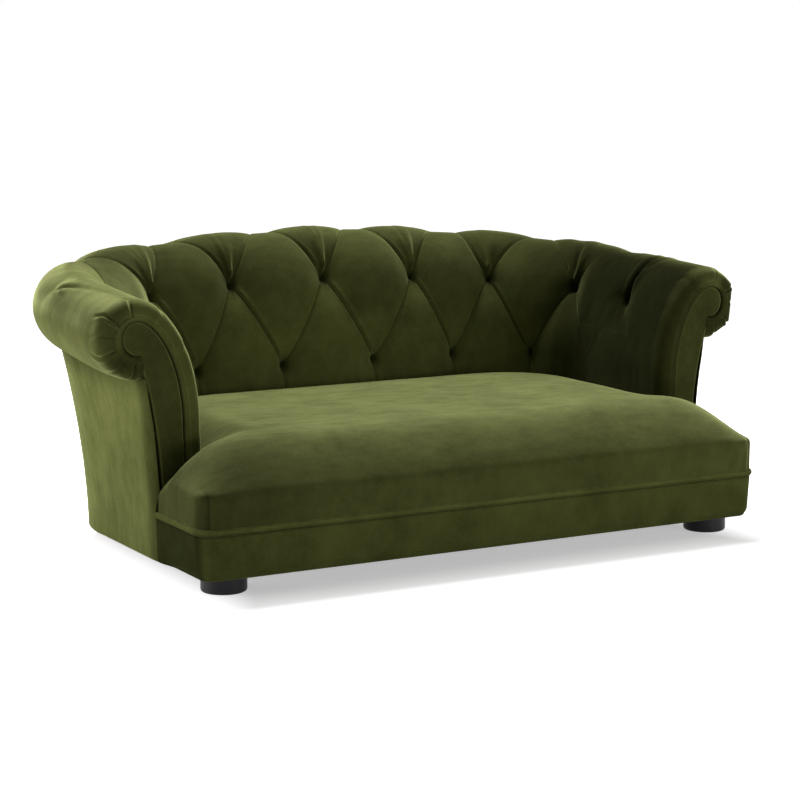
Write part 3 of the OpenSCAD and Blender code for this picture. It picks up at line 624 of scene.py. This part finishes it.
# Gathers of the velvet round the head of each arm: turn round the roll and depth
HEAD_PLEATS = {
    -1: [(40, 0.6), (64, 0.8), (98, 1.9), (141, 2.6), (172, 0.6), (201, 2.8), (236, 1.0), (263, 2.0)],
    1: [(38, 0.5), (63, 1.0), (100, 0.9), (150, 2.2), (184, 0.6), (219, 2.4), (255, 1.0)]}
# Flats between two gathers: turns at the start and end of each, and depth in its middle
HEAD_FLATS = {
    -1: [(98, 141, 1.2), (141, 201, 2.0), (201, 263, 2.6)],
    1: [(100, 150, 2.2), (150, 219, 6.5), (219, 262, 3.0)]}
PLEAT_TURN, PLEAT_WIDENS, PLEAT_DEPTH, PLEAT_RIDGE = 2.6, 0.6, 1.4, 0.3
PLEAT_WANDER, WANDER_RATE = 2.5, 3.2
PLEAT_SHARES, FLAT_SHARES = (-0.55, 0.25), (-1.4, 0.4)
HEAD_GROWTH = 6

# The rounded front edge of the arm's cover, in shares of its radius
EDGE_SHARE, EDGE_CURVE, EDGE_RUN = 0.9, 2 / 2.8, 50
WALL_SHARE, LAST_EDGE = (0.15, 0.3), (1.05, 0.5, -1, 0)
# The level on that edge for each arm, and how it changes between two turns round the roll: painted light and
# painted shade, laid out differently on each arm
EDGE_LEVELS = {-1: (1.5, (-0.4, 80, 130), (-0.5, 185, 230)), 1: (0.62, (0.88, 62, 87), (-0.9, 105, 135))}
# Painted shade on the edge's inner wall and a painted highlight along its rim: where the wall darkens, by how
# much, and the rim's change, place and width
INNER_WALL_SHARES, INNER_WALL_SHADE, RIM_HIGHLIGHT = (0.84, 1.04), 0.85, (0.35, 0.8, 0.08)


def head_growth(a):
    """How much wider the arm's front edge is over the head of the roll."""
    return HEAD_GROWTH * np.clip((a - TOP_TURN) / TOP_TURN, 0, 1)


def pleats(side, a, share):
    """Depth of the gathers at a turn a, and at a share of the way over the front edge, which
    is below 0 on the roll behind it. The velvet is drawn flat from gather to gather."""
    total = 0
    for at, deep in HEAD_PLEATS[side]:
        wander = at + PLEAT_WANDER * np.sin(WANDER_RATE * share + at)
        off = (a - wander) / (PLEAT_TURN + PLEAT_WIDENS * np.clip(1 - share, 0, 1))
        shape = bell(off, 0, 1) - PLEAT_RIDGE * bell(off, 2, 1)
        total = total + PLEAT_DEPTH * deep * rise(share, *PLEAT_SHARES) * shape
    for start, end, flat in HEAD_FLATS[side]:
        mid, half = (start + end) / 2, (end - start) / 2
        total = total + flat * rise(share, *FLAT_SHARES) * np.clip(1 - ((a - mid) / half) ** 2, 0, 1)
    return total


def edge_path():
    """The way over the front edge and down its inner wall. Each place holds its shares of the
    edge's depth and of its reach ahead, and the shares of a gather's depth that go each way."""
    path = []
    for t in np.radians(np.linspace(0, 90, int(EDGE_RUN / FINE))[1:]):
        c, n = math.cos(t), math.sin(t)
        path.append((EDGE_SHARE * (1 - c ** EDGE_CURVE), n ** EDGE_CURVE, c, n))
    for t in np.radians(np.linspace(0, 90, 5)[1:]):
        c, n = math.cos(t), math.sin(t)
        path.append((EDGE_SHARE + WALL_SHARE[0] * n, 1 - WALL_SHARE[1] * (1 - c), -n, c))
    return path + [LAST_EDGE]


def edge_nap_and_light(side, a, rows, share, ahead):
    """The level of nap and painted light over the front edge, with a painted highlight along its rim and
    painted shade on its inner wall.
    """
    level = nap_and_painted_light(side * ARM_END, a, rows)
    start, *changes = EDGE_LEVELS[side]
    brushed_with_painted_light = sum((change * rise(a, *turns) for change, *turns in changes), start)
    level = level + (brushed_with_painted_light - level) * min(1, ahead)
    return level * (1 - INNER_WALL_SHADE * rise(share, *INNER_WALL_SHARES) + patch(share, *RIM_HIGHLIGHT))


def arm_cover(name, side):
    """Tufted cover of an arm, whose front is drawn over the rounded edge down to the facing."""
    s = side * np.append(np.arange(JOIN, ARM_END, FINE), ARM_END)[:, None]
    o, h, n, a = section(s, ROWS[None], 0)
    deep = dent(s, ROWS[None]) + pleats(side, a, (abs(s) - ARM_END) / EDGE_R) + creases(s, ROWS[None])
    front = wall_point(s, o - deep * n[..., 0], h - deep * n[..., 1])
    loops = [np.concatenate([front, cover_points(s, INNER_ROWS[None], COVER_BACK)], 1)]
    fields = [tuft_attribute(s, ROWS[None])]
    rows = np.append(ROWS, INNER_ROWS)
    turns = section(side * ARM_END, rows, 0)[3]
    for share, ahead, up, on in edge_path():
        ring = []
        for part, least in ((ROWS, 0), (INNER_ROWS, PAD_T)):
            o, h, n, a = section(side * ARM_END, part, 0)
            depth, forward = share * (EDGE_R + head_growth(a)), ahead * EDGE_R
            if least:
                depth = np.maximum(least, depth + EDGE_LIP)
            else:
                groove = pleats(side, a, ahead)
                depth, forward = depth + groove * up, forward - groove * on
            points = wall_point(side * ARM_END, o - depth * n[:, 0], h - depth * n[:, 1])
            points[:, 1] -= forward
            ring.append(points)
        loops.append(np.concatenate(ring)[None])
        level = edge_nap_and_light(side, turns, rows, share, ahead)
        fields.append(np.stack([*np.zeros((3, len(rows))), level], -1))
    return loft(name, np.concatenate(loops), "velvet", tufted, np.concatenate(fields), side < 0)


back_cover = wall_cover("back_cover", np.linspace(-JOIN, JOIN, int(2 * JOIN / FINE)), False)
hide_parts("inside_back")
for label, side in (("left", -1), ("right", 1)):
    cover = arm_cover("arm_cover_" + label, side)
    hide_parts("inside_arm_" + label)

foam_stops = np.linspace(-ARM_END, ARM_END, int(2 * ARM_END / (3 * FINE)))[:, None]
foam_rows = np.linspace(-1, 3, int(4 * ROW_LEN / (3 * FINE)))[None]
wall_pad = loft("wall_padding", np.concatenate([
    cover_points(foam_stops, foam_rows, FOAM_FRONT),
    cover_points(foam_stops, foam_rows[:, ::-1], FOAM_BACK)], 1), "foam", foam)
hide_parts("wall_foam")


# Club-shaped facing at the front of each arm: points of its outer side, from the foot upwards
FACING_OUT = [(451, COVER_Z), (454.5, 150), (457.5, 185), (461, 212), (465, 238), (469, 258), (474, 277),
              (478.5, 291), (483.5, 302), (490, 311)]
FACING_SEAM, FACING_EDGE, FACING_SWELL, SWELL_CURVE = 1.8, 5, 7.5, 0.9
FACING_FRONT, FACING_BACK, FACING_TOP_ROW = 1.2, 11.8, 2.66
# Level from the back of the facing, over its sewn edge, to its middle: painted shade in the groove at the
# edge, then a painted highlight just inside it
FACING_PAINTED_LIGHT = np.array([0.15, 0.15, 0.2, 0.3, 0.6, 1.1, 1.8, 1.9, 1.3, 1])


def curve(points, count):
    """Smooth curve through points, with count places shared out along it."""
    points = np.asarray(points, float)
    t = np.linspace(0, len(points) - 1, count)
    i = np.minimum(t.astype(int), len(points) - 2)
    f = (t - i)[:, None]
    wide = np.concatenate([2 * points[:1] - points[1:2], points, 2 * points[-1:] - points[-2:-1]])
    a, b, c, d = (wide[i + k] for k in range(4))
    low = 2 * b + (c - a) * f
    return 0.5 * (low + (2 * a - 5 * b + 4 * c - d) * f ** 2 + (3 * b - a - 3 * c + d) * f ** 3)


def facing_outline():
    """Outline of the facing in X and Z: up beside the cover's edge, and down its outer side."""
    out, height, n, a = section(ARM_END, np.linspace(-1, FACING_TOP_ROW, 200), 0)
    depth = EDGE_R + FACING_SEAM + head_growth(a)
    inner = np.stack([ARM_X + out - depth * n[:, 0], height - depth * n[:, 1]], -1)
    foot = (1 - np.linspace(0, 1, 10)[1:-1, None]) * (np.array([FACING_OUT[0]]) - inner[:1])
    outline = np.concatenate([inner, curve(FACING_OUT, 90)[::-1], inner[:1] + foot])
    for _ in range(3):
        outline = (np.roll(outline, 1, 0) + 2 * outline + np.roll(outline, -1, 0)) / 4
    return outline


def arm_facing(name, side):
    outline = facing_outline()
    ahead = np.roll(outline, -1, 0) - np.roll(outline, 1, 0)
    inward = np.stack([ahead[:, 1], -ahead[:, 0]], -1) / np.linalg.norm(ahead, axis=1)[:, None]
    layers = [(outline, ARM_FRONT_Y + FACING_BACK)]
    for t in np.radians(np.linspace(0, 90, len(FACING_PAINTED_LIGHT) - 1)):
        y = ARM_FRONT_Y + FACING_FRONT + FACING_SWELL * (1 - math.sin(t) ** SWELL_CURVE)
        layers.append((outline + inward * FACING_EDGE * (1 - math.cos(t)), y))
    loops = [np.stack([side * edge[:, 0], np.full(len(edge), y), edge[:, 1]], -1) for edge, y in layers]
    return loft(name, loops, "velvet", facing_velvet, level_without_tufts(loops, FACING_PAINTED_LIGHT[:, None]), flip=side < 0)


# Outside panels, with their velvet turned in under the base
FOLD_RUN, FOLD_IN, FOLD_LOW_IN, FOLD_TOP_LESS = 30, 13, 2, 5
TURNED_T, TURNED_RUN, TOP_RISE, FLARE_CURVE = 6.4, 11.6, 7, 1.7
UNDER_R, UNDER_BACK, LEAST_T = 3, 0.5, 0.4
# Where the panel is drawn in at the front of the arm, in shares of its height
DRAWN_SHARES, LESS_DRAWN_SHARES, TURNED_SHARES, RISE_SHARES = (0.28, 0.4), (0.7, 1), (0.5, 0.85), (0.9, 1)
# Painted shade close under the roll and at the front
PANEL_LEVEL, PANEL_SHADE_UNDER_ROLL, DARK_TOP_RUN, PANEL_FRONT_SHADE = 1.15, 0.75, (78, 18), 0.45
FRONT_PLACES, RISE_PLACES = (WALL_HALF - 36, WALL_HALF - 8), (WALL_HALF - 26, WALL_HALF - 14)
# Where the outside panels meet, and their steps
PANEL_SPLIT, PANEL_SEAM, PANEL_STEP = place(3), 0.3, 6


def flare(s):
    return ROLL_OUT - ROLL_R * np.cos(np.radians(neck_turn(s))) - WALL_T - bulge(s) - 2 * SOFT_GAP


def panel_loops(stops, side, front):
    """Loops across an outside panel. At the front of an arm the velvet is turned round the
    edge of the arm in a soft fold."""
    loops = []
    up = np.linspace(1, 0, 50)
    turns = np.radians(np.linspace(10, 90, 6))
    drawn_in = FOLD_LOW_IN + (FOLD_IN - FOLD_LOW_IN) * rise(up, *DRAWN_SHARES)
    drawn_in = drawn_in - FOLD_TOP_LESS * rise(up, *LESS_DRAWN_SHARES)
    for s in stops:
        top = top_h(s) - ROLL_R + ROLL_R * math.sin(math.radians(neck_turn(s)))
        thin, fold, lift = 0, 0, 0
        if front:
            edge = max(0, 1 - (WALL_HALF - s) / FOLD_RUN)
            thin = drawn_in * (1 - math.sqrt(1 - min(1, edge * edge)))
            fold = TURNED_T if WALL_HALF - s < TURNED_RUN else 0
            lift = TOP_RISE * rise(s, *RISE_PLACES)
        height = FOOT_H + up * (top - FOOT_H)
        raised = lift * rise(up, *RISE_SHARES)
        out = WALL_T + bulge(s) + flare(s) * up ** FLARE_CURVE
        back = (out - PANEL_T - fold * (1 - rise(up, *TURNED_SHARES)))[::-1]
        out = out - thin
        back = np.minimum(back, out[::-1] - LEAST_T)
        under = out[-1] - UNDER_R + UNDER_R * np.cos(turns)
        z = np.concatenate([
            np.maximum(height, FOOT_H + UNDER_R) + raised, FOOT_H + UNDER_R - UNDER_R * np.sin(turns),
            (np.maximum(height, FOOT_H + UNDER_BACK) + raised)[::-1]])
        loops.append(wall_point(side * s, np.concatenate([out, under, back]), z))
    return np.asarray(loops)


# Level of the outside panels: painted shade close under the roll and, on the arms, at the front
def panel_level(loops, front=0.0):
    z = loops[..., 2]
    level = PANEL_LEVEL - PANEL_SHADE_UNDER_ROLL * rise(z, z.max() - DARK_TOP_RUN[0], z.max() - DARK_TOP_RUN[1])
    return level_without_tufts(loops, level * (1 - PANEL_FRONT_SHADE * np.reshape(front, (-1, 1))))


def outside_arm(name, side):
    fold = np.sin(np.radians(np.linspace(0, 90, 18)))
    stops = np.sort(np.concatenate([
        np.arange(PANEL_SPLIT + PANEL_SEAM, WALL_HALF - FOLD_RUN - 4, PANEL_STEP),
        [WALL_HALF - TURNED_RUN - 0.1, WALL_HALF - TURNED_RUN + 0.1],
        WALL_HALF - FOLD_RUN + (FOLD_RUN - 1.5) * fold]))
    loops = panel_loops(stops, side, True)
    level = panel_level(loops, rise(stops, *FRONT_PLACES))
    return loft(name, loops, "velvet", velvet_nap_down_lit, level, flip=side > 0)


def outside_back(name):
    loops = panel_loops(np.linspace(-PANEL_SPLIT, PANEL_SPLIT, 76), 1, False)
    return loft(name, loops, "velvet", velvet_nap_down_lit, panel_level(loops), flip=True)


# Border and welt
BORDER_R, BORDER_BACK, BORDER_AHEAD = 2.5, 3, 1.5
BORDER_LEAN, BORDER_TUCK, TUCK_SHARES, TUCK_CURVE = 3.5, 5.5, (0.82, 1.07), 1.5
BORDER_END_RUN, BORDER_END_SHARE, MOST_TUCK = 45, 0.7, 9
# Painted light: the border darker on its sides than at its front, and the welt lighter on top than below
BORDER_PAINTED_LIGHT, WELT_PAINTED_LIGHT = (0.5, 0.8), (0.95, 0.6)


def front_path(inset, back, step=7.0):
    """Outline of the front of the base, from the left arm round to the right arm."""
    turns = np.radians(np.linspace(0, 90, 13))
    r, bent = SEAT_CORNER_R, SEAT_CORNER_R - inset
    right = np.stack([HALF_W - r + bent * np.sin(turns), FRONT_Y + r - bent * np.cos(turns)], -1)
    left = right[::-1] * [-1, 1]
    y0 = ARM_FRONT_Y - back
    side_y = np.linspace(y0, FRONT_Y + r, int((y0 - FRONT_Y - r) / step))[:-1]
    mid = np.linspace(-HALF_W + r, HALF_W - r, int((BASE_W - 2 * r) / step))[1:-1]
    return np.concatenate([
        np.stack([np.full(len(side_y), inset - HALF_W), side_y], -1), left,
        np.stack([mid, np.full(len(mid), FRONT_Y + inset)], -1), right,
        np.stack([np.full(len(side_y), HALF_W - inset), side_y[::-1]], -1)])


def front_border(name):
    """Border below the welt. It leans in a little and is drawn in under the base, apart from its
    ends, which meet the outside panels."""
    top, bend = WELT_H - WELT_D / 2 - SOFT_GAP, FOOT_H + BORDER_R
    down = np.linspace(0, 1, 16)
    z = top + down * (bend - top)
    tuck = BORDER_LEAN * down + BORDER_TUCK * rise(down, *TUCK_SHARES) ** TUCK_CURVE
    turns = np.radians(np.linspace(15, 90, 5))
    inset = np.concatenate([tuck, tuck[-1] + BORDER_R - BORDER_R * np.cos(turns), tuck[::-1] + PANEL_T])
    height = np.concatenate([z, bend - BORDER_R * np.sin(turns), np.maximum(z[::-1], FOOT_H + BORDER_BACK)])
    paths = [front_path(i, -BORDER_AHEAD) for i in inset]
    for path, i in zip(paths, inset):
        near_end = rise(path[:, 1], ARM_FRONT_Y - BORDER_END_RUN, ARM_FRONT_Y)
        path[:, 0] += np.sign(path[:, 0]) * min(i, MOST_TUCK) * BORDER_END_SHARE * near_end
    loops = [[(*path[k], h) for path, h in zip(paths, height)] for k in range(len(paths[0]))]
    # Painted shade on the border's sides and painted light where it faces forward
    ahead = np.gradient(paths[0], axis=0)
    front = rise(ahead[:, 0] / np.linalg.norm(ahead, axis=1), 0.2, 0.8)
    level = BORDER_PAINTED_LIGHT[0] + BORDER_PAINTED_LIGHT[1] * front
    return loft(name, loops, "velvet", velvet_nap_up_shaded, level_without_tufts(loops, level[:, None]))


def seat_welt(name):
    path = front_path(WELT_D / 2 - WELT_OUT, SOFT_GAP)
    ahead = np.gradient(path, axis=0)
    ahead /= np.linalg.norm(ahead, axis=1)[:, None]
    turns = np.linspace(0, 2 * math.pi, 17)[:-1]
    c, n = WELT_D / 2 * np.cos(turns), WELT_D / 2 * np.sin(turns)
    loops = [np.stack([x + dy * c, y - dx * c, WELT_H + n], -1) for (x, y), (dx, dy) in zip(path, ahead)]
    # Painted highlight on top of the cord and painted shade below it
    level = WELT_PAINTED_LIGHT[0] + WELT_PAINTED_LIGHT[1] * np.sin(turns)
    return loft(name, loops, "velvet", velvet_cord, level_without_tufts(loops, level))


# Seat: runs over which its crown rises and falls, and the dips beside the arms' fronts
CROWN_RUN, CROWN_CURVE, BACK_EDGE_RUN = 114, 2.4, 60
LOW_START, LOW_RUN = ARM_FRONT_Y - 40, 80
DIP, DIP_RUN, DIP_INSIDE, DIP_OUTSIDE = 7, 45, 60, 50
SEAT_SMOOTHING, SEAT_VOXEL, CORE_VOXEL = 9, 4, 12
CORE_INSET, SEAT_UNDER, SEAT_BEND = COVER_T + 4, 14, 0.9
DART_DEPTH, DART_W, DART_FADE = 3.4, 4, 14
# Wrinkles beside each dart: how far from it, how deep and how high
DART_WRINKLES = ((-9, -0.9, 150), (-19, 1.3, 146), (-31, -0.9, 140), (-43, 0.9, 138), (8, 1.0, 146))
WRINKLE_LEAN, UPRIGHT_H, WRINKLE_W, WRINKLE_RUN, WRINKLE_END_Y = 0.25, 100, 5, 30, FRONT_Y + 34
# The seat swells a little on both sides of a dart
DART_SWELL, SWELL_AT, SWELL_W, SWELL_FADE, SWELL_END_Y = 0.8, 16, 12, 30, FRONT_Y + 40
# The seat's level, and patches of painted shade on the left, near the arm and towards the front, and of
# painted light at the right front: change, side, and where each grows across and along
SEAT_LEVEL = 1.12
SEAT_PAINTED_LIGHT = (
    (-0.3, -1, (230, 400), (FRONT_Y + 190, FRONT_Y + 110)),
    (0.15, 1, (150, 300), (FRONT_Y + 60, FRONT_Y + 20)),
    (-0.5, -1, (300, 390), (ARM_FRONT_Y - 30, ARM_FRONT_Y + 10)))


def ease(x, power=2.0):
    return 1 - (1 - np.clip(x, 0, 1)) ** power


def seat_h(x, y):
    far = abs(x)
    full = ease((HALF_W - far) / CROWN_RUN, CROWN_CURVE) * ease((y - FRONT_Y) / CROWN_RUN, CROWN_CURVE)
    corner = CORNER_R - np.hypot(np.maximum(0, far - BACK_HALF), y - CORNER_Y)
    gap = np.where(y > CORNER_Y, corner, ARM_X - far)
    low = (SEAT_CROWN_H - SEAT_BACK_EDGE_H) * (1 - ease(gap / BACK_EDGE_RUN))
    beside = rise(far, ARM_X - DIP_INSIDE, ARM_X) * rise(far, HALF_W, HALF_W - DIP_OUTSIDE)
    dip = DIP * bell(y, ARM_FRONT_Y, DIP_RUN) * beside
    return SEAT_EDGE_H + (SEAT_CROWN_H - SEAT_EDGE_H) * full - low * ease((y - LOW_START) / LOW_RUN) - dip


def seat_front(x, inset):
    c = np.maximum(0, abs(x) - HALF_W + SEAT_CORNER_R)
    return FRONT_Y + SEAT_CORNER_R - np.sqrt(np.maximum(0, (SEAT_CORNER_R - inset) ** 2 - c * c))


def seat_back(x, inset):
    r = CORNER_R - SOFT_GAP - inset
    c = max(0, abs(x) - BACK_HALF)
    if c > r + 0.01:
        return ARM_FRONT_Y - SOFT_GAP - inset
    return CORNER_Y + math.sqrt(max(0, r * r - c * c))


def seat_columns(inset):
    """Places across the seat, close together where its outline turns or steps."""
    narrow, wide, r = ARM_X - SOFT_GAP - inset, HALF_W - inset, SEAT_CORNER_R
    corner = (CORNER_R - SOFT_GAP - inset) * np.sin(np.radians(np.arange(0, 90, 5)))
    half = np.unique(np.round(np.concatenate([
        np.linspace(0, BACK_HALF, 26), BACK_HALF + corner, [narrow, narrow + 0.02],
        np.linspace(narrow + 6, wide - r, 7), wide - r + r * np.sin(np.radians(np.arange(10, 91, 10)))]), 4))
    return np.concatenate([-half[:0:-1], half])


def seat_shape(name, inset, bottom, voxel, slot, material):
    """Crowned T-shaped cushion: a rough solid in columns, remeshed and smoothed."""
    loops = []
    for x in seat_columns(inset):
        a, b = float(seat_front(x, inset)), seat_back(x, inset)
        bend = a + SEAT_BEND * (ARM_FRONT_Y - SOFT_GAP - inset - a)
        y = np.concatenate([np.linspace(a, bend, 26), bend + np.linspace(0.04, 1, 40) * (b - bend)])
        top = np.stack([np.full(len(y), x), y, seat_h(x, y) - inset], -1)
        flat = top * [1, 1, 0] + [0, 0, bottom - SEAT_UNDER]
        loops.append(np.concatenate([flat[:1], top, flat[-1:], flat[::-1]]))
    rough = loft(name + "_rough", loops, slot, material, flip=True)
    modifier = rough.modifiers.new("remesh", "REMESH")
    modifier.mode = "VOXEL"
    modifier.voxel_size = voxel * MM
    modifier = rough.modifiers.new("smooth", "SMOOTH")
    modifier.iterations = SEAT_SMOOTHING
    modifier.factor = 0.5
    graph = bpy.context.evaluated_depsgraph_get()
    mesh = bpy.data.meshes.new_from_object(rough.evaluated_get(graph))
    verts = np.zeros(len(mesh.vertices) * 3)
    mesh.vertices.foreach_get("co", verts)
    faces = [list(f.vertices) for f in mesh.polygons]
    bpy.data.objects.remove(rough)
    verts = verts.reshape(-1, 3) / MM
    verts[:, 2] = np.maximum(verts[:, 2], bottom)
    return verts, faces


def seat_cushion(name):
    """Seat cover, with its darts and the small wrinkles beside them."""
    bottom = WELT_H + WELT_D / 2 + SOFT_GAP
    verts, faces = seat_shape(name, 0, bottom, SEAT_VOXEL, "velvet", seat_velvet)
    x, y, z = verts.T
    for side in (-1, 1):
        across = side * x - DART_X
        low = np.clip((DART_TOP - z) / DART_FADE, 0, 1)
        y += DART_DEPTH * bell(across, 0, DART_W) * low * (y < DART_END_Y)
        for off, deep, high in DART_WRINKLES:
            lean = across - off - WRINKLE_LEAN * (z - UPRIGHT_H) * (off < 0)
            low = rise(z, high, high - WRINKLE_RUN)
            y += deep * bell(lean, 0, WRINKLE_W) * low * (y < WRINKLE_END_Y)
        low = np.clip((DART_TOP - z) / SWELL_FADE, 0, 1)
        y -= DART_SWELL * bell(abs(across), SWELL_AT, SWELL_W) * low * (y < SWELL_END_Y)
    # Painted shade and painted light on the seat, carried in the level attribute
    attribute = np.zeros((len(x), 4))
    attribute[:, 3] = SEAT_LEVEL
    for change, side, across, along in SEAT_PAINTED_LIGHT:
        attribute[:, 3] += change * rise(side * x, *across) * rise(y, *along)
    return make(name, np.stack([x, y, z], -1), faces, "velvet", seat_velvet, attribute)


# Thin cloth under the base
DUST_INSET, DUST_T, DUST_GAP, DUST_SAG = 14, 0.5, 0.3, 1.6
RIPPLE, RIPPLE_X, RIPPLE_Y = 0.2, 31, 27


def dust_sheet(name):
    """Thin cloth stapled flat under the base. It hangs a little between the feet."""
    half = HALF_W - DUST_INSET
    front_r, back_r = SEAT_CORNER_R - DUST_INSET, CORNER_R + WALL_T - DUST_INSET
    corner = (half - BACK_HALF) * np.sin(np.radians(np.linspace(0, 88, 16)))
    right = np.concatenate([np.linspace(0, BACK_HALF, 14)[:-1], BACK_HALF + corner])
    loops = []
    for x in np.concatenate([-right[:0:-1], right]):
        ahead = max(0, abs(x) - half + front_r)
        aside = max(0, abs(x) - BACK_HALF)
        y0 = FRONT_Y + DUST_INSET + front_r - math.sqrt(front_r ** 2 - ahead ** 2)
        y1 = CORNER_Y + math.sqrt(max(0, back_r ** 2 - aside ** 2))
        y = np.linspace(y0, y1, 26)
        u, v = x / half, 2 * (y - y0) / (y1 - y0) - 1
        ripple = 1 - RIPPLE + RIPPLE * np.sin(x / RIPPLE_X) * np.cos(y / RIPPLE_Y)
        sag = DUST_SAG * (1 - u * u) * (1 - v * v) * ripple
        low = np.stack([np.full(len(y), x), y, FOOT_H + DUST_GAP - sag], -1)
        loops.append(np.concatenate([low, low[::-1] + [0, 0, DUST_T]]))
    cloth = loft(name, loops, "dust_cloth", dust_cloth)
    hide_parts("dust_cover")


dust_sheet("dust_sheet")
for label, side in (("left", -1), ("right", 1)):
    facing = arm_facing("arm_front_" + label, side)
    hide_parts("arm_facing_" + label)
    panel = outside_arm("outer_arm_" + label, side)
    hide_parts("outside_arm_" + label)
panel = outside_back("outer_back")
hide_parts("outside_back")
border = front_border("border_band")
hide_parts("front_border")
welt = seat_welt("welt_cord")
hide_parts("seat_welt")
cushion = seat_cushion("seat_cushion")
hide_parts("seat_cover")
core_verts, core_faces = seat_shape("seat_core", CORE_INSET, COVER_Z, CORE_VOXEL, "foam", foam)
core = make("seat_core", core_verts, core_faces, "foam", foam)
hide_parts("seat_foam")


# Bare materials of the frame's own solids
BARE = (
    (plywood, ("base_board", "seat_board", "arm_former_left", "arm_former_right", "wall_formers",
               "wall_liner")),
    (pine, ("front_rail", "side_rail_left", "side_rail_right", "back_rail", "cross_rails", "corner_blocks",
            "roll_rail")),
    (foot_black, ("foot_front_left", "foot_front_right", "foot_back_left", "foot_back_right")),
    (steel, ("tuft_washers", "foot_bolts", "tee_nuts")))
for material, names in BARE:
    for name in names:
        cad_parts[name].data.materials.clear()
        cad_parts[name].data.materials.append(material)


# Stage: floor, world, lamps and camera. Its lengths are in metres, apart from FLOOR_HALF
FLOOR_HALF = 9000
FLOOR_GREY = (0.8, 0.8, 0.8, 1)
SHADED_GLOW = 0.43
GLOW_ASIDE, GLOW_AHEAD, GLOW_BEHIND = (0.37, 0.47), (-0.3, -0.5), (0.15, 0.35)
WORLD_LIGHT = 0.1
LENS, SENSOR = 97.4, 36
CAMERA_PLACE, CAMERA_DOWN, CAMERA_ASIDE = (-1.604, -2.890, 0.703), 8.745, 29.365


def seen_rays(tree):
    """Is 1 for rays that show a surface to the camera, and 0 for those that light others."""
    path = node(tree, "ShaderNodeLightPath").outputs
    return largest(tree, path["Is Camera Ray"], path["Is Glossy Ray"], path["Is Transmission Ray"])


def stage_material():
    """Floor that keeps the sofa's shadow, with a painted glow for the camera that is dimmed under and just in
    front of the sofa and rises to white away from it.
    """
    mat, tree, bsdf = nodes_of("pale_floor")
    tree.nodes.remove(bsdf)
    x, y, _ = axes(tree, object_place(tree))
    aside = ramp(tree, maths(tree, "ABSOLUTE", x), *GLOW_ASIDE, kind="SMOOTHSTEP")
    ahead = ramp(tree, y, *GLOW_AHEAD, kind="SMOOTHSTEP")
    behind = ramp(tree, y, *GLOW_BEHIND, kind="SMOOTHSTEP")
    glow = ramp(tree, largest(tree, aside, ahead, behind), 0.0, 1.0, SHADED_GLOW, 1.0)
    strength = product(tree, seen_rays(tree), glow)
    lit = node(tree, "ShaderNodeBsdfDiffuse", {"Color": FLOOR_GREY})
    shining = node(tree, "ShaderNodeEmission", {"Color": (1, 1, 1, 1), "Strength": strength})
    both = node(tree, "ShaderNodeAddShader", {0: lit.outputs[0], 1: shining.outputs[0]})
    tree.links.new(both.outputs[0], tree.nodes["Material Output"].inputs["Surface"])
    return mat


corners = [(x * FLOOR_HALF, y * FLOOR_HALF, 0) for x, y in ((-1, -1), (1, -1), (1, 1), (-1, 1))]
floor = make("floor", corners, [(0, 1, 2, 3)], "velvet", stage_material())
del floor["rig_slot"]

world = bpy.data.worlds.new("studio")
scene.world = world
world.use_nodes = True
sky = world.node_tree.nodes["Background"]
seen = seen_rays(world.node_tree)
sky_strength = maths(world.node_tree, "MULTIPLY_ADD", seen, 1 - WORLD_LIGHT, WORLD_LIGHT)
world.node_tree.links.new(sky_strength, sky.inputs["Strength"])
sky.inputs["Color"].default_value = (1, 1, 1, 1)


def lamp(name, at, aim, size, power):
    data = bpy.data.lights.new(name, "AREA")
    data.shape = "RECTANGLE"
    data.size, data.size_y = size
    data.energy = power
    obj = bpy.data.objects.new(name, data)
    obj.location = at
    obj.rotation_euler = (Vector(aim) - Vector(at)).to_track_quat("-Z", "Y").to_euler()
    scene.collection.objects.link(obj)


lamp("top_softbox", at=(0.1, 0.9, 2.2), aim=(0.05, 0, 0.2), size=(1.3, 0.9), power=78)
lamp("side_softbox", at=(-2.4, 0.6, 0.24), aim=(-0.4, 0, 0.22), size=(1.2, 0.4), power=22)
lamp("front_fill", at=(1.2, -3.0, 0.5), aim=(0, 0, 0.2), size=(1.8, 0.8), power=26)

camera_data = bpy.data.cameras.new("camera")
camera_data.sensor_width = SENSOR
camera_data.lens = LENS
camera = bpy.data.objects.new("camera", camera_data)
camera.location = CAMERA_PLACE
camera.rotation_euler = (math.radians(90 - CAMERA_DOWN), 0, math.radians(-CAMERA_ASIDE))
scene.collection.objects.link(camera)
scene.camera = camera
scene.view_settings.view_transform = "Standard"
